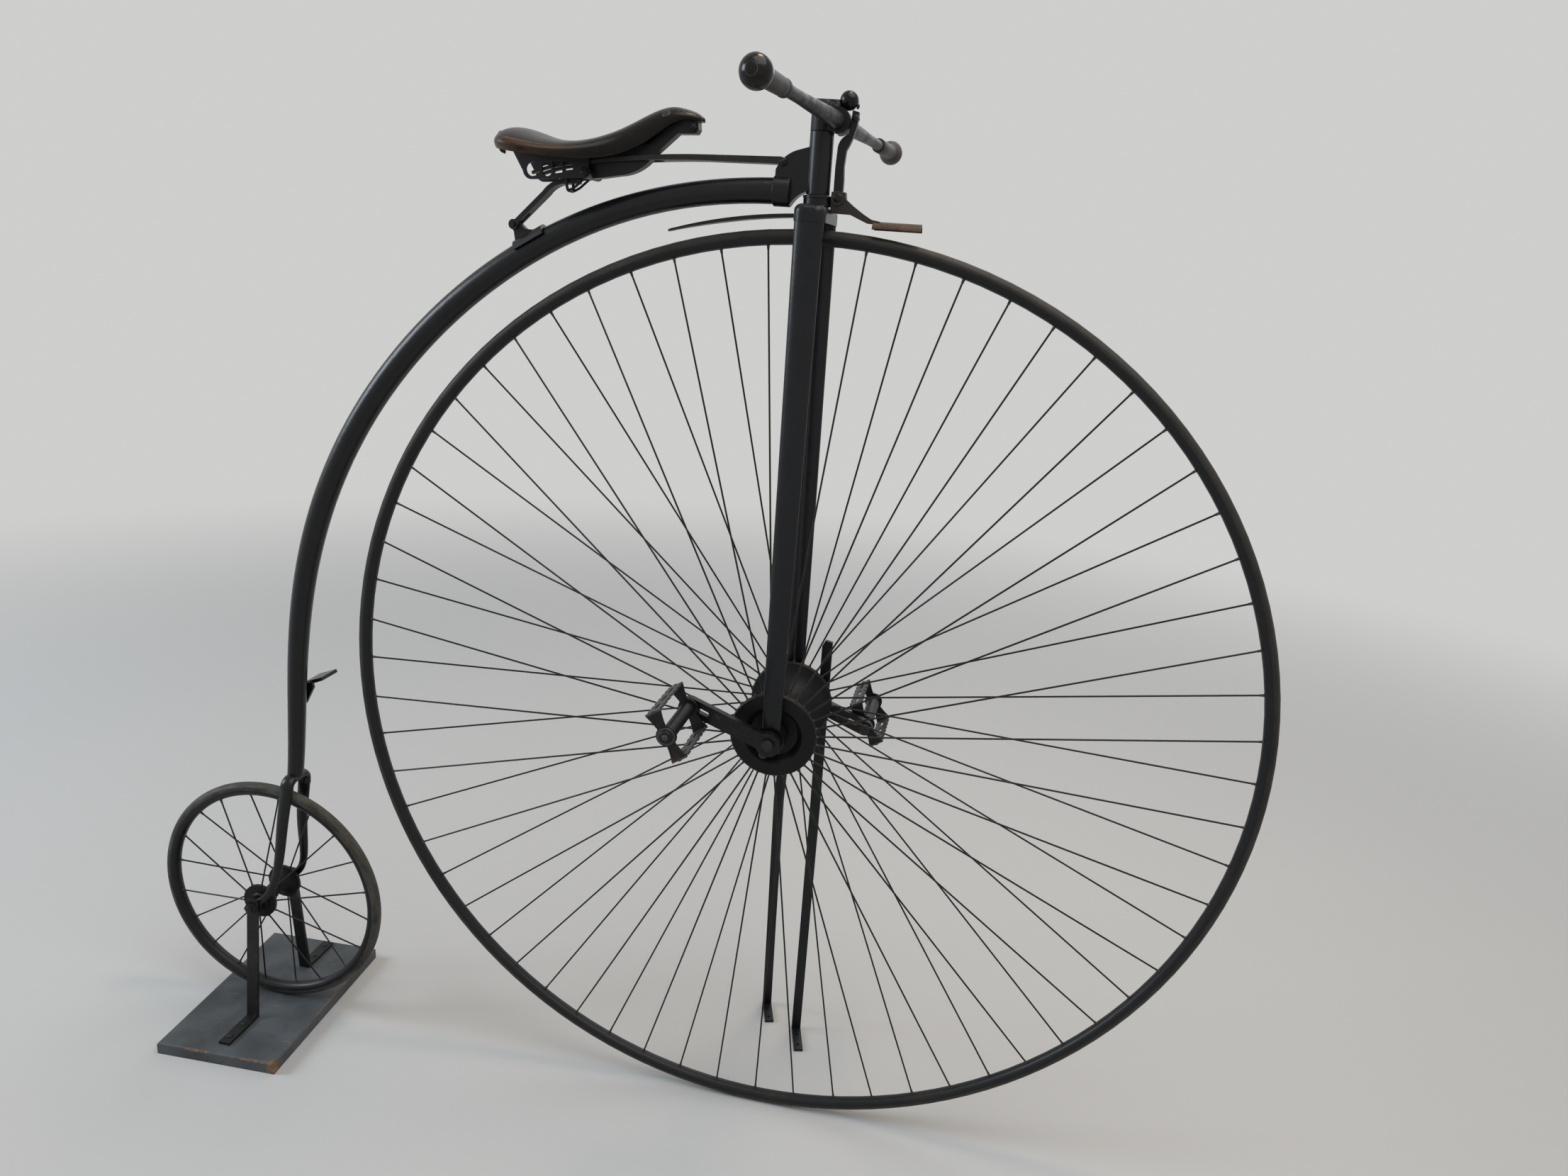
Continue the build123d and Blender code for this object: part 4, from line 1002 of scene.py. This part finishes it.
class BICYCLE_OT_crank_fittings(BuildPiece, bpy.types.Operator):
    """Axle caps, crank keys, and the nuts, caps, washers and rivets of the pedals."""

    bl_idname = "bicycle.crank_fittings"
    bl_label = "Crank and pedal fittings"

    def execute(self, context):
        radius = context.scene.bicycle_fittings.nut_radius
        finish = bare_steel("crank_nut_steel", tone=0.25, rust=0.5, rough=0.34)
        pins = {side: FRONT_HUB + crank_arm(side) * CRANK_THROW for side in SIDES}
        parts = []
        for side, out in zip(SIDES, OUTWARD):
            inward = (0, -side, 0)
            arm = crank_arm(side)
            square = Vector((-arm.z, 0, arm.x))
            axle_end = out_from(FRONT_HUB, side, AXLE_CAP_OUT)
            key = out_from(FRONT_HUB, side, KEY_OUT) + square * KEY_LIFT
            pin_nut = out_from(pins[side], side, PIN_NUT_OUT)
            parts += [
                turned(dome(0.0075, 0.0022, -0.0003), axle_end, out, sides=28),
                turned(nut(radius * 0.95, 0.0045), key, square, sides=6),
                turned(nut(radius * 1.5, 0.0055), pin_nut, inward, sides=6),
            ]
        make_piece("crank_nuts", parts, finish, "front_wheel", smooth=0.5)
        along = Vector((math.cos(PEDAL_TILT), 0, math.sin(PEDAL_TILT)))
        washer = ((0.0118, -0.0002), (0.0122, 0.0004), (0.0118, 0.0014))
        pale = bare_steel("pedal_cap_steel", tone=0.45, rust=0.4, rough=0.36)
        for side, out, name in zip(SIDES, OUTWARD, ("right", "left")):
            pin = pins[side]
            rivets = [(end, y) for end in (-1, 1) for y in TREAD_RIVETS_OUT]
            places = [out_from(pin + along * (end * TREAD_REACH), side, y) for end, y in rivets]
            directions = [along * end for end, _ in rivets]
            parts = [
                turned(dome(0.0042, 0.0016, -0.0003), out_from(pin, side, PIN_CAP_OUT), out),
                turned(washer, out_from(pin, side, WASHER_OUT), out, sides=28),
                turned(dome(0.0026, 0.0014), places, directions, sides=12),
            ]
            make_piece(f"pedal_rivets_{name}", parts, pale, f"pedal_{name}")
        return {"FINISHED"}


class BICYCLE_OT_bearing_bolts(BuildPiece, bpy.types.Operator):
    """Bolts under the front bearings and domed ends on the rear axle."""

    bl_idname = "bicycle.bearing_bolts"
    bl_label = "Bearing bolts"

    def execute(self, context):
        radius = context.scene.bicycle_fittings.nut_radius
        finish = enamelled("bearing_bolt_enamel", gloss=0.36, brown=0.6)
        # In millimetres: the housing's radius, and how far forward and how far out a bolt sits
        housing, along, out = 20, 9.5, 75.5
        below = -math.sqrt(housing**2 - along**2) - 0.3
        places = [FRONT_HUB + Vector((x, side * out, below)) * MM for side in SIDES for x in (-along, along)]
        bolts = turned(nut(radius * 0.8, 0.0042), places, [(0, 0, -1)] * len(places), sides=6)
        make_piece("bearing_bolts", [bolts], finish, "fork", smooth=0.5)
        places = [out_from(REAR_HUB, side, 60.6) for side in SIDES]
        ends = turned(dome(0.0060, 0.0020, -0.0004), places, OUTWARD)
        make_piece("rear_axle_ends", [ends], finish, "frame")
        return {"FINISHED"}


def node_finishes():
    """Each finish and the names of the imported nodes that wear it."""
    return (
        (enamelled("frame_black_enamel", gloss=0.24, brown=0.35), "backbone head_lug step rear_fork"),
        # The fork's bluer tint adds more of that painted cool daylight cast
        (enamelled("fork_black_enamel", gloss=0.25, brown=0.25, tint=(0.95, 1.0, 1.1)),
         "front_fork steering_stem"),
        (enamelled("saddle_black_iron", gloss=0.42, brown=0.75, coat=0.15, chip=1.4),
         "saddle_cradle leg_clamp rear_leg saddle_leather"),
        (enamelled("stand_leg_steel", gloss=0.44, brown=0.8, coat=0.1, chip=1.6),
         "stand_yoke stand_leg_front stand_leg_rear"),
        (enamelled("lever_brown_enamel", gloss=0.34, brown=1.15), "brake_lever rear_tongue"),
        (enamelled("rim_black_enamel", gloss=0.36, brown=0.7), "front_rim rear_rim"),
        (bare_steel("spring_brown_steel", tone=0.22, rust=0.5, rough=0.36, tint=(1.05, 0.98, 0.92)),
         "saddle_spring"),
        (bare_steel("bracket_dark_steel", tone=0.2, rust=0.6, rough=0.42), "rear_axle axle_nuts rear_brackets"),
        (bare_steel("crank_dark_steel", tone=0.16, rust=0.55, rough=0.34), "front_axle cranks pedal_pins"),
        (bare_steel("pedal_frame_steel", tone=0.16, rust=0.5, rough=0.4), "pedal_frame_right pedal_frame_left"),
        (bare_steel("pedal_tread_steel", tone=0.50, rust=0.6, rough=0.42),
         "pedal_treads_right pedal_treads_left"),
        (rubber_finish("front_tyre_rubber", FRONT_HUB, FRONT_RADIUS, 0.10), "front_tyre"),
        (rubber_finish("rear_tyre_rubber", REAR_HUB, REAR_RADIUS, 0.55), "rear_tyre"),
        (wheel_hub_finish("front_hub_and_spokes", FRONT_HUB, 0.0615), "front_hub"),
        (wheel_hub_finish("rear_hub_and_spokes", REAR_HUB, 0.0292), "rear_hub"),
        (spoon_finish(), "brake_spoon"),
        (bar_finish(), "handlebar"),
        (handle_finish(), "handles"),
        (clamp_finish(), "bar_clamp"),
        (plank_finish(), "stand_board"),
    )


class BICYCLE_OT_finishes(BuildPiece, bpy.types.Operator):
    """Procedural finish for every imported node."""

    bl_idname = "bicycle.finishes"
    bl_label = "Finishes"

    def execute(self, context):
        bare = set(NODES)
        for finish, names in node_finishes():
            for name in names.split():
                mesh = NODES[name].data
                mesh.materials.clear()
                mesh.materials.append(finish)
                bare.discard(name)
        if bare:
            raise RuntimeError(f"nodes with no finish: {sorted(bare)}")
        return {"FINISHED"}


class BICYCLE_OT_stage(BuildPiece, bpy.types.Operator):
    """Pale floor, soft studio light and the camera at the photograph's viewing angle."""

    bl_idname = "bicycle.stage"
    bl_label = "Stage"

    def execute(self, context):
        use = context.scene.bicycle_stage
        scene = context.scene
        mesh = bpy.data.meshes.new("stage_floor")
        turn = circle(FLOOR_SIDES)
        across, along = np.cos(turn) * FLOOR_RADIUS, np.sin(turn) * FLOOR_RADIUS
        points = np.stack((across, along, np.full(FLOOR_SIDES, -FLOOR_DROP)), -1)
        mesh.from_pydata(points.tolist(), [], [list(range(FLOOR_SIDES))])
        mesh.materials.append(floor_finish())
        floor = bpy.data.objects.new("stage_floor", mesh)
        scene.collection.objects.link(floor)

        # Name, place, aim, size, power and colour of each lamp
        soft = use.key_power
        lamps = (
            ("window_light", (-4.6, -1.1, 2.5), (0.0, 0.0, 1.0), 2.0, soft * 1.2, (0.78, 0.89, 1.0)),
            ("ceiling_light", (0.4, 0.3, 3.2), (0.0, 0.0, 1.0), 0.45, use.warm_power, (1.0, 0.66, 0.36)),
            ("overhead_light", (1.5, -1.0, 4.2), (0.4, 0.0, 0.0), 3.4, soft * 0.85, (1.0, 0.98, 0.95)),
            ("rear_light", (0.9, 3.4, 3.2), (0.0, 0.0, 0.6), 2.8, soft * 0.3, (0.97, 0.98, 1.0)),
        )
        for name, place, aim, size, power, colour in lamps:
            light = bpy.data.lights.new(name, "AREA")
            light.shape = "SQUARE"
            light.size = size
            light.energy = power
            light.color = colour
            lamp = bpy.data.objects.new(name, light)
            lamp.location = place
            lamp.rotation_euler = (Vector(aim) - Vector(place)).to_track_quat("-Z", "Y").to_euler()
            scene.collection.objects.link(lamp)

        # The backdrop's colour where it is seen, mirrored or looked through, and an even light elsewhere
        world = bpy.data.worlds.new("studio")
        scene.world = world
        world.use_nodes = True
        tree = world.node_tree
        tree.nodes.clear()
        path = tree.nodes.new("ShaderNodeLightPath")
        mix = tree.nodes.new("ShaderNodeMixShader")
        output = tree.nodes.new("ShaderNodeOutputWorld")
        shown = path.outputs["Is Camera Ray"]
        for ray in ("Is Glossy Ray", "Is Transmission Ray"):
            either = tree.nodes.new("ShaderNodeMath")
            either.operation = "MAXIMUM"
            tree.links.new(shown, either.inputs[0])
            tree.links.new(path.outputs[ray], either.inputs[1])
            shown = either.outputs[0]
        tree.links.new(shown, mix.inputs[0])
        for k, colour, strength in ((1, (0.94, 0.97, 1.0), use.sky), (2, use.backdrop, 1.0)):
            light = tree.nodes.new("ShaderNodeBackground")
            light.inputs["Color"].default_value = (*colour, 1.0)
            light.inputs["Strength"].default_value = strength
            tree.links.new(light.outputs[0], mix.inputs[k])
        tree.links.new(mix.outputs[0], output.inputs["Surface"])

        scene.view_settings.view_transform = "Standard"
        camera = bpy.data.cameras.new("photo_camera")
        camera.sensor_fit = "HORIZONTAL"
        camera.sensor_width = 36.0
        camera.lens = use.focal_length
        viewer = bpy.data.objects.new("photo_camera", camera)
        # Columns: the camera's right, up and backward directions and its place
        viewer.matrix_world = Matrix((
            (0.97778943, -0.12117070, 0.17101315, 0.43300),
            (0.19790002, 0.26507510, -0.94370058, -1.40802),
            (0.06901753, 0.95658395, 0.28316731, 1.27307),
            (0.0, 0.0, 0.0, 1.0),
        ))
        scene.collection.objects.link(viewer)
        scene.camera = viewer
        return {"FINISHED"}


PIECES = (
    BICYCLE_OT_finishes,
    BICYCLE_OT_saddle,
    BICYCLE_OT_saddle_fittings,
    BICYCLE_OT_spoke_nipples,
    BICYCLE_OT_bracket_screws,
    BICYCLE_OT_head_fittings,
    BICYCLE_OT_handle_rings,
    BICYCLE_OT_crank_fittings,
    BICYCLE_OT_bearing_bolts,
    BICYCLE_OT_stage,
)
SETTINGS = (
    ("bicycle_finish", BicycleFinishSettings),
    ("bicycle_saddle", BicycleSaddleSettings),
    ("bicycle_fittings", BicycleFittingSettings),
    ("bicycle_stage", BicycleStageSettings),
)


class BICYCLE_PT_pieces(bpy.types.Panel):
    """Lists the bicycle's settings and the operators that build its pieces."""

    bl_idname = "BICYCLE_PT_pieces"
    bl_label = "High-wheel bicycle"
    bl_space_type = "VIEW_3D"
    bl_region_type = "UI"
    bl_category = "Bicycle"

    def draw(self, context):
        for name, group in SETTINGS:
            box = self.layout.box()
            for key in group.__annotations__:
                box.prop(getattr(context.scene, name), key)
        for piece in PIECES:
            self.layout.operator(piece.bl_idname)


def register():
    for name, group in SETTINGS:
        bpy.utils.register_class(group)
        setattr(bpy.types.Scene, name, bpy.props.PointerProperty(type=group))
    for piece in (*PIECES, BICYCLE_PT_pieces):
        bpy.utils.register_class(piece)


def unregister():
    for piece in (BICYCLE_PT_pieces, *reversed(PIECES)):
        bpy.utils.unregister_class(piece)
    for name, group in reversed(SETTINGS):
        delattr(bpy.types.Scene, name)
        bpy.utils.unregister_class(group)


def main():
    """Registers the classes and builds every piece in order."""
    register()
    for piece in PIECES:
        group, name = piece.bl_idname.split(".")
        getattr(getattr(bpy.ops, group), name)()


if __name__ == "__main__":
    main()
